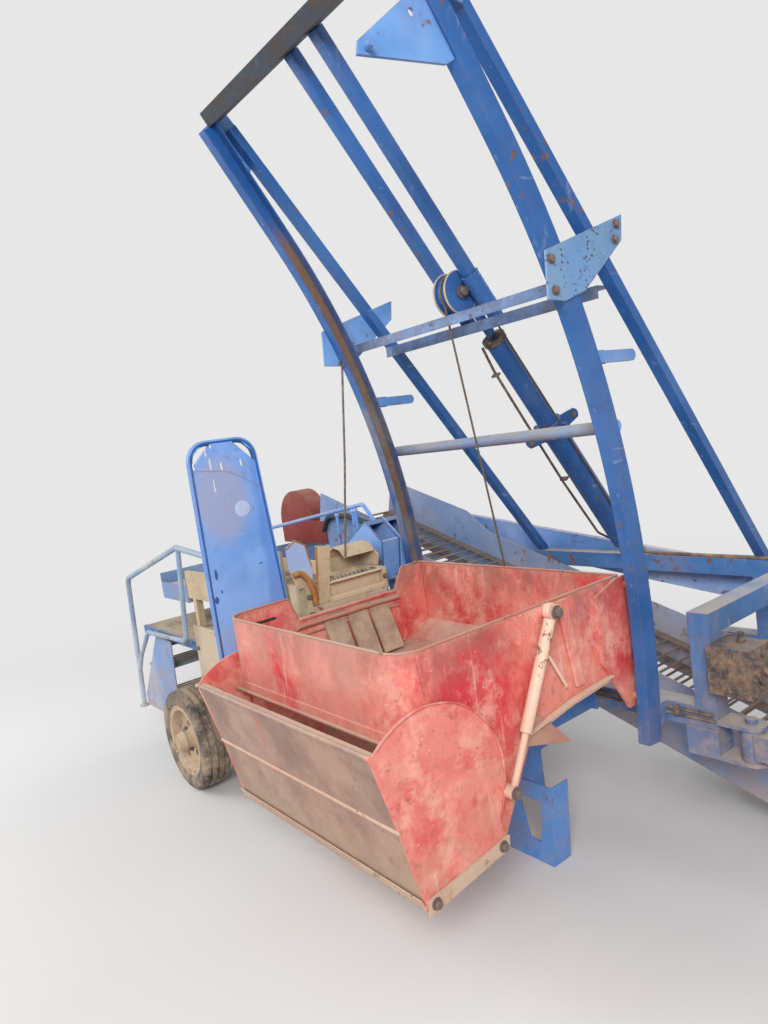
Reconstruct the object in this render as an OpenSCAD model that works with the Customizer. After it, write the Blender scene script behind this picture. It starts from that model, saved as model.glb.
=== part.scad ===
// Trailed one-row potato harvester with a picking platform and a high-lift side bunker.
// X points forward, Y to the left, Z up. The ground is z = 0 and the origin lies on it,
// under the middle of the machine. All sizes are in millimetres.

/* [Overall] */
// Half of the length from the hitch eye to the handrail
half_len = 2600; // [2500:10:2900]
// Half of the width from the bunker flap's lip to the left hub
half_w = 1220; // [1180:5:1300]

/* [Wheels] */
// Place of the axle along the machine
wheel_x = -1697; // [-1760:1:-1650]
// Outer radius of a tyre
wheel_r = 267; // [250:1:275]
// Width of a tyre
tyre_w = 150; // [120:1:170]
// Radius of the rim's seat under the tyre
rim_r = 178; // [160:1:190]
// How far a hub's end lies outside its wheel's middle
hub_out = 105; // [90:1:120]
// Middle of the right wheel
wheel_right_y = -885; // [-900:1:-870]
// Radius of the stub axles
stub_r = 20; // [16:0.5:24]

/* [Chassis] */
// Side of the square frame tubes
tube_s = 80; // [70:1:90]
// Middle of the right frame rail
rail_right_y = 130; // [125:1:145]
// Middle of the left frame rail
rail_left_y = 985; // [975:1:990]
// Height of the frame rails' underside
rail_z = 500; // [480:1:520]
// Rear end of the frame rails
rail_rear_x = -2250; // [-2300:1:-2200]
// Front end of the frame rails
rail_front_x = 700; // [680:1:740]
// Height of the upper left rail's underside, which carries the mast
upper_rail_z = 850; // [830:1:880]

/* [Drawbar] */
// Place of the drawbar's upright pivot
drawbar_pivot_x = 800; // [790:1:840]
// Height of the drawbar's middle
drawbar_z = 470; // [450:1:490]
// Radius of the hole in the hitch eye
hitch_hole_r = 20; // [18:0.5:25]
// Radius of the pivot pin
pivot_pin_r = 20; // [16:0.5:24]
// Place of the parking stand along the machine
stand_x = 2150; // [2050:10:2250]

/* [Bunker] */
// Rear end wall's outer face
bunker_rear_x = -703; // [-705:1:-690]
// Front end wall's outer face
bunker_front_x = 418; // [400:1:450]
// Outer face of the outer side wall
bunker_out_y = -1055; // [-1060:1:-1045]
// Outer face of the inner side wall
bunker_in_y = 0; // [-10:1:2]
// Height of the rim
bunker_rim_z = 1077; // [1070:1:1100]
// Thickness of the bunker's sheet
bunker_t = 5; // [4:0.5:6]
// Radius of the rounded outer corners
bunker_corner_r = 90; // [60:1:110]
// Lower edge of the outer wall, above the discharge window
window_top_z = 782; // [760:1:800]

/* [Mast] */
// Radius of the curved rails, on the rollers' track
arc_r = 3229; // [3215:1:3240]
// Middle of the curve across the machine
arc_y = -3208; // [-3215:1:-3200]
// Height of the middle of the curve
arc_z = 895; // [890:1:900]
// Angle at which the rails end at the foot
arc_low = -8; // [-9:0.5:-7]
// Angle at which the curve runs out into the straight top
arc_high = 32; // [31:0.5:34]
// Length of the straight top of a rail
rail_top_len = 520; // [500:5:540]
// Height of the rails' channel section
channel_h = 80; // [76:1:84]
// Width of the rails' channel section
channel_w = 45; // [44:1:48]
// Thickness of the channel's web and flanges
channel_t = 6; // [5:0.5:7]
// Gap between a bunker end wall and the middle of its rail
channel_gap = 65; // [65:1:70]

/* [Lift] */
// Slope of the guide tubes and the cylinder from the vertical
lift_slope = 36.4; // [36:0.1:36.8]
// Lift block's middle across the machine, with the bunker down
lift_y = -3; // [-6:1:0]
// Lift block's height with the bunker down
lift_z = 2195; // [2190:1:2205]
// Radius of the guide tubes
guide_r = 30; // [26:0.5:32]
// Half of the distance between the guide tubes
guide_dx = 80; // [76:1:86]
// Radius of the lift cylinder's rod
rod_r = 22; // [20:0.5:24]
// Radius of the lift cylinder's barrel
barrel_r = 46; // [40:0.5:48]
// Radius of the rope sheave
sheave_r = 74; // [60:1:78]

/* [Flap] */
// Hinge line of the flap across the machine
flap_y = -1080; // [-1084:1:-1079]
// Height of the flap's hinge line
flap_z = 335; // [330:1:340]
// Height of the flap's lip
lip_z = 838; // [820:1:850]
// Thickness of the flap's sheet
flap_t = 5; // [4:0.5:6]
// Radius of the curved edge of the cheeks
cheek_r = 295; // [285:1:300]
// Place of the cheeks' curve across the machine
cheek_y = -1010; // [-1012:1:-1005]
// Height of the middle of the cheeks' curve
cheek_z = 623; // [615:1:630]

/* [Elevator web] */
// Place of the web's front roller
web_front_x = 950; // [940:1:970]
// Height of the web's front roller
web_front_z = 180; // [176:1:190]
// Place of the web's rear roller
web_rear_x = -2050; // [-2070:1:-2030]
// Height of the web's rear roller
web_rear_z = 1120; // [1110:1:1130]
// Radius of the web's rollers
web_roller_r = 55; // [50:1:60]
// Inner face of the right web wall
web_right_y = 340; // [335:1:350]
// Inner face of the left web wall
web_left_y = 925; // [915:1:930]
// Width of the haulm hood on the right web wall
hood_w = 120; // [100:5:180]
// Diameter of the web's rods
web_rod_d = 12; // [10:0.5:14]
// Distance from rod to rod
web_pitch = 75; // [60:1:90]

/* [Picking platform] */
// Height of the platform's top
deck_z = 760; // [740:1:780]
// Rear edge of the platform
deck_rear_x = -2480; // [-2500:1:-2440]
// Front edge of the platform
deck_front_x = -866; // [-880:1:-860]
// Outer edge of the platform
deck_out_y = -800; // [-810:1:-780]
// Height of the picking table's belt
belt_z = 1020; // [1010:1:1030]
// Right edge of the picking table
table_right_y = -640; // [-645:1:-630]
// Left edge of the picking table
table_left_y = -185; // [-195:1:-180]
// Front end of the picking table
table_front_x = -745; // [-760:1:-740]
// Rear end of the picking table
table_rear_x = -2090; // [-2100:1:-2085]
// Height of the guard board
board_h = 1090; // [1040:5:1100]
// Width of the guard board at its foot
board_w = 380; // [370:1:385]

/* [Digging unit] */
// Front end of the digging shares
share_tip_x = 1330; // [1300:5:1360]
// Height of the shares' tips over the ground
share_tip_z = 60; // [45:1:80]
// Place of the ridge roller
ridge_roller_x = 1440; // [1420:5:1470]
// Largest radius of the ridge roller
ridge_roller_r = 170; // [160:1:180]
// Radius of the disc coulters
disc_r = 200; // [190:1:204]

/* [Hidden] */
$fn = 64;
// Clearances: a seat that is nearly face to face, and a running fit
seat = 0.3;
fit = 0.05;
// A bent tube is this much thicker in its bends
bend_swell = 0.5;
e = 1;

wheel_left_y = half_w - hub_out;
rail_top_z = rail_z + tube_s;
lip_y = -half_w;

mast_cx = (bunker_rear_x + bunker_front_x) / 2;
rail_rear = bunker_rear_x - channel_gap;
rail_front = bunker_front_x + channel_gap;
arc_back = arc_r + channel_h / 2;
arc_c = [arc_y, arc_z];
arc_top = [arc_y + arc_r * cos(arc_high), arc_z + arc_r * sin(arc_high)];
rail_dir = [-sin(arc_high), cos(arc_high)];
rail_end = arc_top + rail_top_len * rail_dir;

lift_dir = [-sin(lift_slope), cos(lift_slope)];
lift_foot_z = 975;
lift_foot = [lift_y, lift_z] - (lift_z - lift_foot_z) / cos(lift_slope) * lift_dir;
lift_travel = arc_r / 2 * 27 * PI / 180;

web_run = [web_rear_x - web_front_x, web_rear_z - web_front_z];
web_len = norm(web_run);
web_tilt = atan2(web_run[1], -web_run[0]);
web_loop = 2 * web_len + 2 * PI * web_roller_r;
web_count = floor(web_loop / web_pitch);
web_wall_t = 5;

leg_top = rail_end + [100, 6];
leg_foot = [rail_left_y, upper_rail_z + tube_s];
leg_h = 40;

// Helpers: a box by its two corners, a round bar between two points, a bar in a YZ plane,
// an outline drawn in YZ and pushed along X, and one drawn in XZ and pushed along Y
module block(a, b) {
    translate(a) cube(b - a);
}
module rod(p, q, r) {
    d = q - p;
    translate(p) rotate([0, acos(d[2] / norm(d)), atan2(d[1], d[0])]) cylinder(h = norm(d), r = r);
}
// A tube through a row of points, bent to a radius at each inner one
function turn(p, i) = acos(unit(p[i] - p[i - 1]) * unit(p[i + 1] - p[i]));
function trim_len(p, i, bend) = i == 0 || i == len(p) - 1 ? 0 : bend * tan(turn(p, i) / 2);
module elbow(p, i, r, bend) {
    u = unit(p[i] - p[i - 1]);
    v = unit(p[i + 1] - p[i]);
    inward = unit(v - (u * v) * u);
    c = p[i] - trim_len(p, i, bend) * u + bend * inward;
    z = cross(-inward, u);
    multmatrix([[-inward[0], u[0], z[0], c[0]], [-inward[1], u[1], z[1], c[1]],
                [-inward[2], u[2], z[2], c[2]], [0, 0, 0, 1]])
        rotate_extrude(angle = turn(p, i)) translate([bend, 0]) circle(r + bend_swell);
}
module pipe(p, r, bend) {
    for (i = [0:len(p) - 2]) {
        d = unit(p[i + 1] - p[i]);
        a = max(0, trim_len(p, i, bend) - 5);
        b = max(0, trim_len(p, i + 1, bend) - 5);
        rod(p[i] + a * d, p[i + 1] - b * d, r);
    }
    for (i = [1:len(p) - 2]) elbow(p, i, r, bend);
}
module beam_yz(x, p, q, w, h) {
    d = q - p;
    translate([x - w / 2, p[0], p[1]]) rotate([atan2(d[1], d[0]), 0, 0])
        translate([0, 0, -h / 2]) cube([w, norm(d), h]);
}
module along_x(x0, x1) {
    translate([x0, 0, 0]) rotate([90, 0, 90]) linear_extrude(x1 - x0) children();
}
module along_y(y0, y1) {
    translate([0, y1, 0]) rotate([90, 0, 0]) linear_extrude(y1 - y0) children();
}
module disc_x(x0, x1, p, r) {
    translate([x0, p[0], p[1]]) rotate([0, 90, 0]) cylinder(h = x1 - x0, r = r);
}
module disc_x_fine(x0, x1, p, r) {
    translate([x0, p[0], p[1]]) rotate([0, 90, 0]) cylinder(h = x1 - x0, r = r, $fn = 360);
}
module disc_y(y0, y1, p, r) {
    translate([p[0], y1, p[1]]) rotate([90, 0, 0]) cylinder(h = y1 - y0, r = r);
}
// A folded sheet: a line of points thickened to its left with mitred folds
function unit(v) = v / norm(v);
function left_of(a, b) = let (d = unit(b - a)) [-d[1], d[0]];
function miter(p, i, t) =
    i == 0 ? p[0] + left_of(p[0], p[1]) * t
    : i == len(p) - 1 ? p[i] + left_of(p[i - 1], p[i]) * t
    : let (n = left_of(p[i - 1], p[i]), m = unit(n + left_of(p[i], p[i + 1]))) p[i] + m * (t / (m * n));
module sheet(p, t) {
    polygon([each p, each [for (i = [len(p) - 1:-1:0]) miter(p, i, t)]]);
}
// A round-ended loop outline along +X from the middle of one roller to the other
module stadium(l, r) {
    translate([0, -r]) square([l, 2 * r]);
    circle(r);
    translate([l, 0]) circle(r);
}
function arc(c, r, a0, a1, n) = [for (i = [0:n]) let (a = a0 + (a1 - a0) * i / n) c + r * [cos(a), sin(a)]];

// Chassis
module main_frame() {
    color("royalblue") {
        for (y = [rail_right_y, rail_left_y])
            block([rail_rear_x, y - tube_s / 2, rail_z], [rail_front_x, y + tube_s / 2, rail_top_z]);
        for (x = [rail_rear_x, -820])
            block([x, rail_right_y, rail_z], [x + tube_s, rail_left_y, rail_top_z]);
        // Upper left rail on posts, which carries the mast's legs and the lift cylinder
        block([rail_rear - 40, rail_left_y - tube_s / 2, upper_rail_z],
              [rail_front_x, rail_left_y + tube_s / 2, upper_rail_z + tube_s]);
        for (x = [rail_rear, rail_front, rail_front_x - tube_s / 2])
            block([x - tube_s / 2, rail_left_y - tube_s / 2, rail_z],
                  [x + tube_s / 2, rail_left_y + tube_s / 2, upper_rail_z + e]);
        // Front bridge over the crop flow
        block([rail_front_x - tube_s, rail_right_y - tube_s / 2, upper_rail_z],
              [rail_front_x, rail_left_y, upper_rail_z + tube_s]);
        block([rail_front_x - tube_s, rail_right_y - tube_s / 2, rail_z],
              [rail_front_x, rail_right_y + tube_s / 2, upper_rail_z + tube_s]);
        // Posts under the cross conveyor
        for (y = [rail_right_y, rail_left_y])
            block([rail_rear_x, y - 30, rail_top_z - e], [rail_rear_x + 60, y + 30, 898]);
        // Fork for the drawbar, with its pin
        for (z = [drawbar_z - 72, drawbar_z + 58])
            block([rail_front_x - e, rail_right_y - 50, z], [drawbar_pivot_x, rail_right_y + 50, z + 14]);
        for (z = [drawbar_z - 72, drawbar_z + 58])
            translate([drawbar_pivot_x, rail_right_y, z]) cylinder(h = 14, r = 50);
        block([rail_front_x - 120, rail_right_y - 50, drawbar_z - 72],
              [rail_front_x, rail_right_y + 50, rail_z + e]);
        translate([drawbar_pivot_x, rail_right_y, drawbar_z - 90]) cylinder(h = 180, r = pivot_pin_r);
        // Brackets to the feet of the curved rails
        difference() {
            for (x = [rail_rear, rail_front])
                block([x - 22, arc_y + arc_back * cos(6) - 20, rail_z], [x + 22, rail_right_y, rail_top_z]);
            disc_x_fine(rail_rear - 50, rail_front + 50, arc_c, arc_back + seat);
        }
        // Lugs with the pin of the lift cylinder's foot
        for (x = [mast_cx - 22 - seat - 12, mast_cx + 22 + seat]) along_x(x, x + 12) {
            polygon([[rail_left_y - tube_s / 2 + 2, upper_rail_z + 30],
                     [rail_left_y + 30, upper_rail_z + tube_s - e],
                     lift_foot + [24, 24], lift_foot - [24, 24]]);
            translate(lift_foot) circle(34);
        }
        disc_x(mast_cx - 40, mast_cx + 40, lift_foot, 14);
    }
}

// Cantilevers under the platform, on stubs that stand on the right rail
module platform_bearers() {
    top = deck_z - 26;
    color("royalblue") for (c = [[rail_rear_x + 90 + seat, 60, deck_out_y + 20], [-1560, 60, deck_out_y + 20],
                                 [deck_front_x - 32, 64, -1030]]) {
        x0 = c[0] - c[1] / 2;
        block([x0, rail_right_y, rail_top_z + seat], [x0 + c[1], rail_right_y + 40, top]);
        block([x0, c[2], top - 60], [x0 + c[1], rail_right_y + 40, top]);
    }
}

// Outrigger with the front foot's sleeve
module foot_bracket() {
    inner = rail_right_y - tube_s / 2 - seat;
    color("royalblue") difference() {
        union() {
            block([95, -300, rail_z - 20], [165, inner, rail_z + 40]);
            block([80, -330, rail_z - 60], [180, -230, rail_z + 60]);
            block([70, inner - 12, rail_z - 20], [190, inner, rail_z + 70]);
        }
        block([100 - seat, -310 - seat, rail_z - 100], [160 + seat, -250 + seat, rail_z + 100]);
    }
}

module axle() {
    color("royalblue") {
        block([wheel_x - 35, wheel_right_y + 110, wheel_r - 35],
              [wheel_x + 35, wheel_left_y - 95, wheel_r + 35]);
        disc_y(wheel_right_y - hub_out + 12, wheel_left_y + hub_out - 12, [wheel_x, wheel_r], stub_r);
        for (y = [rail_right_y, rail_left_y])
            block([wheel_x - 70, y - 30, wheel_r + 34], [wheel_x + 70, y + 30, rail_z]);
    }
}

// Wheels: a pressed rim with a hub, and a ribbed implement tyre
module rim(y, side) {
    color("tan") translate([wheel_x, y, wheel_r]) rotate([90 * side, 0, 0]) difference() {
        rotate_extrude($fn = 96) polygon([
            [0, -hub_out + 40], [46, -hub_out + 40], [46, -20], [120, 10], [150, 2], [rim_r - 22, -52],
            [rim_r, -64], [rim_r, 64], [rim_r - 16, 64], [rim_r - 22, 50], [150, 22], [120, 24], [60, 10],
            [46, 40], [46, hub_out - 30], [36, hub_out - 30], [36, hub_out], [0, hub_out]
        ]);
        translate([0, 0, -hub_out]) cylinder(h = 2 * hub_out - 10, r = stub_r + fit);
    }
}
module tyre(y) {
    w = tyre_w / 2;
    r = wheel_r;
    color("dimgray") translate([wheel_x, y, wheel_r]) rotate([90, 0, 0]) rotate_extrude($fn = 96) polygon([
        [rim_r, -60], [rim_r + 16, -w + 6], [r - 44, -w], [r - 16, -w + 7], [r - 4, -w + 18],
        [r - 3, -42], [r - 12, -39], [r - 12, -33], [r - 1, -30],
        [r, -6], [r - 10, -4], [r - 10, 4], [r, 6],
        [r - 1, 30], [r - 12, 33], [r - 12, 39], [r - 3, 42],
        [r - 4, w - 18], [r - 16, w - 7], [r - 44, w], [rim_r + 16, w - 6], [rim_r, 60]
    ]);
}
module wheel_right_rim() { rim(wheel_right_y, 1); }
module wheel_right_tyre() { tyre(wheel_right_y); }
module wheel_left_rim() { rim(wheel_left_y, -1); }
module wheel_left_tyre() { tyre(wheel_left_y); }

// Drawbar with its hitch eye and upright pivot sleeve
module drawbar() {
    eye_x = half_len - 45;
    color("royalblue") difference() {
        union() {
            translate([drawbar_pivot_x, rail_right_y, drawbar_z - 57.5]) cylinder(h = 115, r = 42);
            block([drawbar_pivot_x + 20, rail_right_y - 42, drawbar_z - 45],
                  [half_len - 200, rail_right_y + 42, drawbar_z + 45]);
            block([half_len - 201, rail_right_y - 32, drawbar_z - 15],
                  [eye_x - 20, rail_right_y + 32, drawbar_z + 15]);
            translate([eye_x, rail_right_y, drawbar_z - 15]) cylinder(h = 30, r = 45);
            disc_y(rail_right_y - 70, rail_right_y, [stand_x, drawbar_z], 30);
        }
        translate([drawbar_pivot_x, rail_right_y, drawbar_z - 100]) cylinder(h = 200, r = pivot_pin_r + fit);
        translate([eye_x, rail_right_y, drawbar_z - 100]) cylinder(h = 200, r = hitch_hole_r);
    }
}

// Parking stand that swings up beside the drawbar
module parking_stand() {
    y = rail_right_y - 70 - seat;
    color("royalblue") {
        disc_y(y - 14, y, [stand_x, drawbar_z], 34);
        block([stand_x - 22, y - 14, 8], [stand_x + 22, y, drawbar_z]);
        block([stand_x - 22, y - 58, 8], [stand_x - 10, y, drawbar_z - 60]);
        block([stand_x - 90, y - 90, 0], [stand_x + 90, y + 15, 10]);
    }
}

// Front foot: a bent plate with a triangular hole under a square stem
module front_foot() {
    x = 130;
    y = -280;
    top = 320;
    color("royalblue") {
        block([x - 30, y - 30, 250], [x + 30, y + 30, rail_z + 62]);
        along_y(y - 38, y - 30 + e) difference() {
            polygon([[x - 100, top], [x + 120, top], [x + 90, 0], [x - 150, 0], [x - 150, 40]]);
            polygon([[x - 50, 250], [x + 60, 250], [x + 40, 80], [x - 20, 80]]);
        }
        block([x - 150, y - 38, 0], [x + 90, y + 60, 8]);
        along_y(y - 38, y + 60) polygon([[x + 90, 0], [x + 120, top], [x + 112, top], [x + 82, 0]]);
    }
}

// Gearbox with its input stub, and the cross shaft to the drive on the left
module gearbox() {
    z = upper_rail_z - 110;
    color("slategray") {
        block([rail_front_x, rail_right_y - 75, z - 85], [rail_front_x + 150, rail_right_y + 75, z + 85]);
        disc_x(rail_front_x + 149, rail_front_x + 165, [rail_right_y, z], 45);
        disc_x(rail_front_x + 160, rail_front_x + 260, [rail_right_y, z], 17.5);
        disc_y(rail_right_y + 70, rail_left_y + 60, [rail_front_x + 60, z], 22);
    }
}

// Long chain guard on the left side, from the cross shaft up to the web's rear roller
module drive_guard() {
    a = [rail_front_x + 60, upper_rail_z - 110];
    b = [web_rear_x, web_rear_z];
    t = atan2(b[1] - a[1], a[0] - b[0]);
    y = rail_left_y + 60;
    color("cornflowerblue") translate([a[0], y + 40, a[1]]) rotate([90, 0, 0]) linear_extrude(40 - seat)
        rotate(180 - t) stadium(norm(b - a), 85);
}

// Elevator web: walls, and the endless web of rods on its belts and rollers
module in_web(y0, y1) {
    translate([web_front_x, y1, web_front_z]) rotate([90, 0, 0]) rotate([0, 0, 180 - web_tilt])
        linear_extrude(y1 - y0) children();
}
module web_walls() {
    color("cornflowerblue") {
        for (y = [web_right_y - web_wall_t, web_left_y])
            in_web(y, y + web_wall_t) difference() {
                polygon([[-60, 70], [-60, -60], [150, -190], [web_len - 900, -190], [web_len - 700, -270],
                         [web_len + 60, -270], [web_len + 60, 60], [web_len - 250, 110], [200, 110]]);
                circle(18 + fit);
            }
        for (s = [350, web_len - 500])
            in_web(web_right_y - 1, web_left_y + 1) translate([s, 92]) circle(16);
        // Brackets down to the frame rails
        for (x = [-520, -1150]) {
            block([x - 30, rail_right_y + tube_s / 2, rail_z + 20],
                  [x + 30, web_right_y - web_wall_t, rail_z + 32]);
            block([x - 30, web_right_y - 17, rail_z + 20],
                  [x + 30, web_right_y - web_wall_t, web_wall_low(x) + 60]);
            block([x - 30, web_left_y + web_wall_t, rail_z + 20],
                  [x + 30, rail_left_y - tube_s / 2, rail_top_z]);
            block([x - 30, web_left_y + web_wall_t, rail_z + 20],
                  [x + 30, web_left_y + 12, web_wall_low(x) + 60]);
        }
    }
}
function web_wall_low(x) = web_front_z + (web_front_x - x) * tan(web_tilt) - 110;
// Place on the web's loop at a distance along it, in the web's own frame
function loop_at(s) =
    s < web_len ? [s, -web_roller_r]
    : s < web_len + PI * web_roller_r ? let (a = -90 + (s - web_len) / web_roller_r * 180 / PI)
        [web_len + web_roller_r * cos(a), web_roller_r * sin(a)]
    : s < 2 * web_len + PI * web_roller_r ? [2 * web_len + PI * web_roller_r - s, web_roller_r]
    : let (a = 90 + (s - 2 * web_len - PI * web_roller_r) / web_roller_r * 180 / PI)
        [web_roller_r * cos(a), web_roller_r * sin(a)];
module main_web() {
    belt_w = 40;
    color("dimgray") {
        for (y = [web_right_y + 12, web_left_y - 12 - belt_w])
            in_web(y, y + belt_w) difference() {
                stadium(web_len, web_roller_r + 5);
                stadium(web_len, web_roller_r - 5);
            }
        for (i = [0:web_count - 1])
            in_web(web_right_y + 14, web_left_y - 14) translate(loop_at(i * web_loop / web_count))
                circle(d = web_rod_d, $fn = 16);
        for (s = [0, web_len])
            for (y = [web_right_y + 12, web_left_y - 12 - belt_w])
                in_web(y, y + belt_w) translate([s, 0]) circle(web_roller_r - 4);
        in_web(web_right_y - web_wall_t - 22, web_left_y + web_wall_t + 22) circle(18);
        in_web(web_right_y + 1, web_left_y - 1) translate([web_len, 0]) circle(22);
    }
}

// Rounded hood over the end of the haulm roller, on the right web wall
module haulm_hood() {
    c = [-2370, 1210];
    y0 = web_right_y - web_wall_t - 5 - seat;
    y1 = y0 + hood_w;
    // The outer plate reaches forward onto the web's wall
    color("firebrick") for (p = [[y0, 560], [y1, 414]]) along_y(p[0], p[0] + 5) difference() {
        union() {
            translate(c) circle(207);
            translate(c + [-207, -150]) square([p[1], 150]);
        }
        translate(c + [-230, -310]) square([700, 160]);
    }
    color("firebrick") along_y(y0, y1 + 5) difference() {
        union() {
            translate(c) circle(210);
            translate(c + [-210, -150]) square([420, 150]);
        }
        translate(c) circle(204);
        translate(c + [-204, -210]) square([408, 210]);
        translate(c + [-230, -310]) square([500, 160]);
    }
}

// Cross conveyor from the web's upper end to the picking table
module cross_conveyor() {
    x0 = table_rear_x - 400;
    x1 = table_rear_x - 12;
    color("cornflowerblue") {
        for (x = [x0, x1 - 5]) block([x, table_right_y, 900], [x + 5, web_left_y + 20, 1055]);
        block([x0, table_right_y, 898], [x1, web_left_y + 20, 903]);
        for (y = [table_right_y, web_left_y + 15]) block([x0, y, 900], [x1, y + 5, 1000]);
    }
    color("dimgray") block([x0 + 12, table_right_y + 12, 903], [x1 - 12, web_left_y + 8, 985]);
}

// Digging unit, which swings on the axis of the web's front roller
digger_right_y = web_right_y - web_wall_t - 22;
digger_left_y = web_left_y + web_wall_t + 12;
digger_axle_z = 260;
disc_x0 = web_front_x + 300;
module share_frame() {
    color("royalblue") {
        difference() {
            for (y = [digger_right_y, digger_left_y]) along_y(y, y + 10) {
                polygon([[web_front_x - 20, 140], [web_front_x + 60, 90], [share_tip_x - 100, 75],
                         [share_tip_x - 80, 120], [web_front_x + 240, 330], [web_front_x + 60, 340]]);
                translate([web_front_x, web_front_z]) circle(46);
            }
            disc_y(0, 2000, [web_front_x, web_front_z], 18 + fit);
        }
        disc_y(digger_right_y, digger_left_y + 10, [web_front_x + 70, 330], 24);
        // Arms that carry the ridge roller and the disc coulters
        for (y = [digger_right_y + 60, digger_left_y - 62]) along_y(y, y + 12) difference() {
            union() {
                translate([web_front_x + 70, 330]) circle(32);
                polygon([[web_front_x + 70, 300], [web_front_x + 110, 300], [ridge_roller_x + 30, 420],
                         [ridge_roller_x - 20, 450], [web_front_x + 60, 360]]);
                for (x = [ridge_roller_x, disc_x0]) {
                    translate([x - 28, digger_axle_z]) square([56, 150 - (x == disc_x0 ? 50 : 0)]);
                    translate([x, digger_axle_z]) circle(28);
                }
            }
            translate([ridge_roller_x, digger_axle_z]) circle(16 + fit);
            translate([disc_x0, digger_axle_z]) circle(14 + fit);
        }
    }
}

module shares() {
    n = 3;
    y0 = web_right_y + 45;
    w = (web_left_y - web_right_y - 90) / n;
    color("darkgray") {
        for (i = [0:n - 1]) difference() {
            block([web_front_x + 80, y0 + i * w + 2, 40], [share_tip_x, y0 + (i + 1) * w - 2, 160]);
            along_y(0, 2000) polygon([[share_tip_x + e, share_tip_z + 6], [web_front_x + 79, 150],
                                      [web_front_x + 79, 200], [share_tip_x + e, 200]]);
            along_y(0, 2000) polygon([[share_tip_x + e, share_tip_z], [web_front_x + 79, 136],
                                      [web_front_x + 79, 0], [share_tip_x + e, 0]]);
        }
        disc_y(digger_right_y + 10 + seat, digger_left_y - seat, [web_front_x + 105, 128], 14);
    }
}

module ridge_roller() {
    y0 = web_right_y + 64;
    y1 = web_left_y - 64;
    m = (y0 + y1) / 2;
    h = (y1 - y0) / 2;
    r = ridge_roller_r;
    color("cornflowerblue") translate([ridge_roller_x, m, digger_axle_z]) rotate([90, 0, 0])
        rotate_extrude($fn = 72) polygon([
            [0, -h - 30], [16, -h - 30], [16, -h + 8], [r, -h + 8], [r, -h + 30], [r * 0.6, -40],
            [r * 0.6, 40], [r, h - 30], [r, h - 8], [16, h - 8], [16, h + 30], [0, h + 30]
        ]);
}

module disc_coulters() {
    c = [disc_x0, digger_axle_z];
    color("gray") {
        for (y = [web_right_y + 14, web_left_y - 18]) disc_y(y, y + 4, c, disc_r);
        disc_y(web_right_y + 5, web_left_y - 5, c, 14);
    }
}

// Picking platform
module platform() {
    planks = 4;
    y1 = rail_right_y - 28;
    w = (y1 - deck_out_y) / planks;
    color("tan") {
        for (i = [0:planks - 1])
            block([deck_rear_x, deck_out_y + i * w + 3, deck_z - 26],
                  [deck_front_x, deck_out_y + (i + 1) * w - 3, deck_z]);
        block([deck_rear_x, deck_out_y + 3, deck_z - 30], [deck_rear_x + 20, y1 - 3, deck_z - 2]);
    }
}

module steps() {
    color("cornflowerblue") {
        for (s = [[deck_out_y - 30, deck_z - 30], [deck_out_y + 370, deck_z - 86 - seat]])
            along_y(s[0], s[0] + 6)
                polygon([[-2220, s[1]], [-2560, 320], [-2560, 250], [-2040, 250], [-1990, s[1]]]);
        for (s = [[-2560, 290], [-2420, 520]])
            block([s[0], deck_out_y - 26, s[1]], [s[0] + 220, deck_out_y + 372, s[1] + 20]);
    }
}

module handrail() {
    y = deck_out_y - 48;
    foot = [-half_len + 15.5, y, 240];
    corner = [deck_rear_x + 5, y, deck_z + 309];
    low_end = foot + 0.2835 * (corner - foot);
    color("lightsteelblue") {
        pipe([foot, corner, [-1625, y, deck_z + 529], [deck_front_x - 1.4, y, deck_z + 459]], 15, 60);
        pipe([[-1600, y, deck_z + 526], [-1700, y, deck_z + 17], [-2280, y, deck_z - 4],
              [deck_rear_x + 10, y, deck_z - 170], low_end], 13, 50);
        disc_y(y, deck_out_y + 3 - seat, [-1760, deck_z - 6], 12);
        disc_y(y, deck_out_y + 3 - seat, [-2255, deck_z - 10], 8);
    }
}

module guard_board() {
    y0 = -1040;
    z0 = deck_z - 60;
    top = z0 + board_h;
    y1 = y0 + 320;
    r = 90;
    color("cornflowerblue") translate([deck_front_x + seat, 0, 0]) along_x(0, 22) difference() {
        union() {
            polygon([[y0, z0], [y0 + board_w, z0], [y1, top - r], [y1 - r, top], [y0 + r, top],
                     [y0, top - r]]);
            translate([y0 + r, top - r]) circle(r);
            translate([y1 - r, top - r]) circle(r);
        }
        polygon([[y0 + 16, top - 110], [y0 + 16, top - 70], [y0 + 70, top - 16], [y0 + 110, top - 16]]);
        polygon([[y1 - 16, top - 110], [y1 - 16, top - 70], [y1 - 70, top - 16], [y1 - 110, top - 16]]);
    }
}

plate_y = deck_out_y + 3 - seat - 6;
module wheel_plate() {
    color("wheat") block([-1685, plate_y, 520], [deck_front_x - 64 - seat, plate_y + 6, 860]);
}

module table_frame() {
    color("cornflowerblue") {
        for (y = [table_right_y, table_left_y - 25])
            block([table_rear_x, y, 930], [table_front_x, y + 25, 1090]);
        for (x = [table_rear_x + 60, -1400, table_front_x - 220])
            block([x, table_right_y, 930], [x + 40, table_left_y, 960]);
        for (x = [table_rear_x + 60, table_front_x - 220])
            for (y = [table_right_y, table_left_y - 40])
                block([x, y, deck_z], [x + 40, y + 40, 931]);
    }
}

module picking_belt() {
    color("dimgray") {
        along_y(table_right_y + 30, table_left_y - 30) translate([table_rear_x + 40, belt_z - 30])
            stadium(table_front_x - table_rear_x - 160, 30);
    }
}

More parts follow.
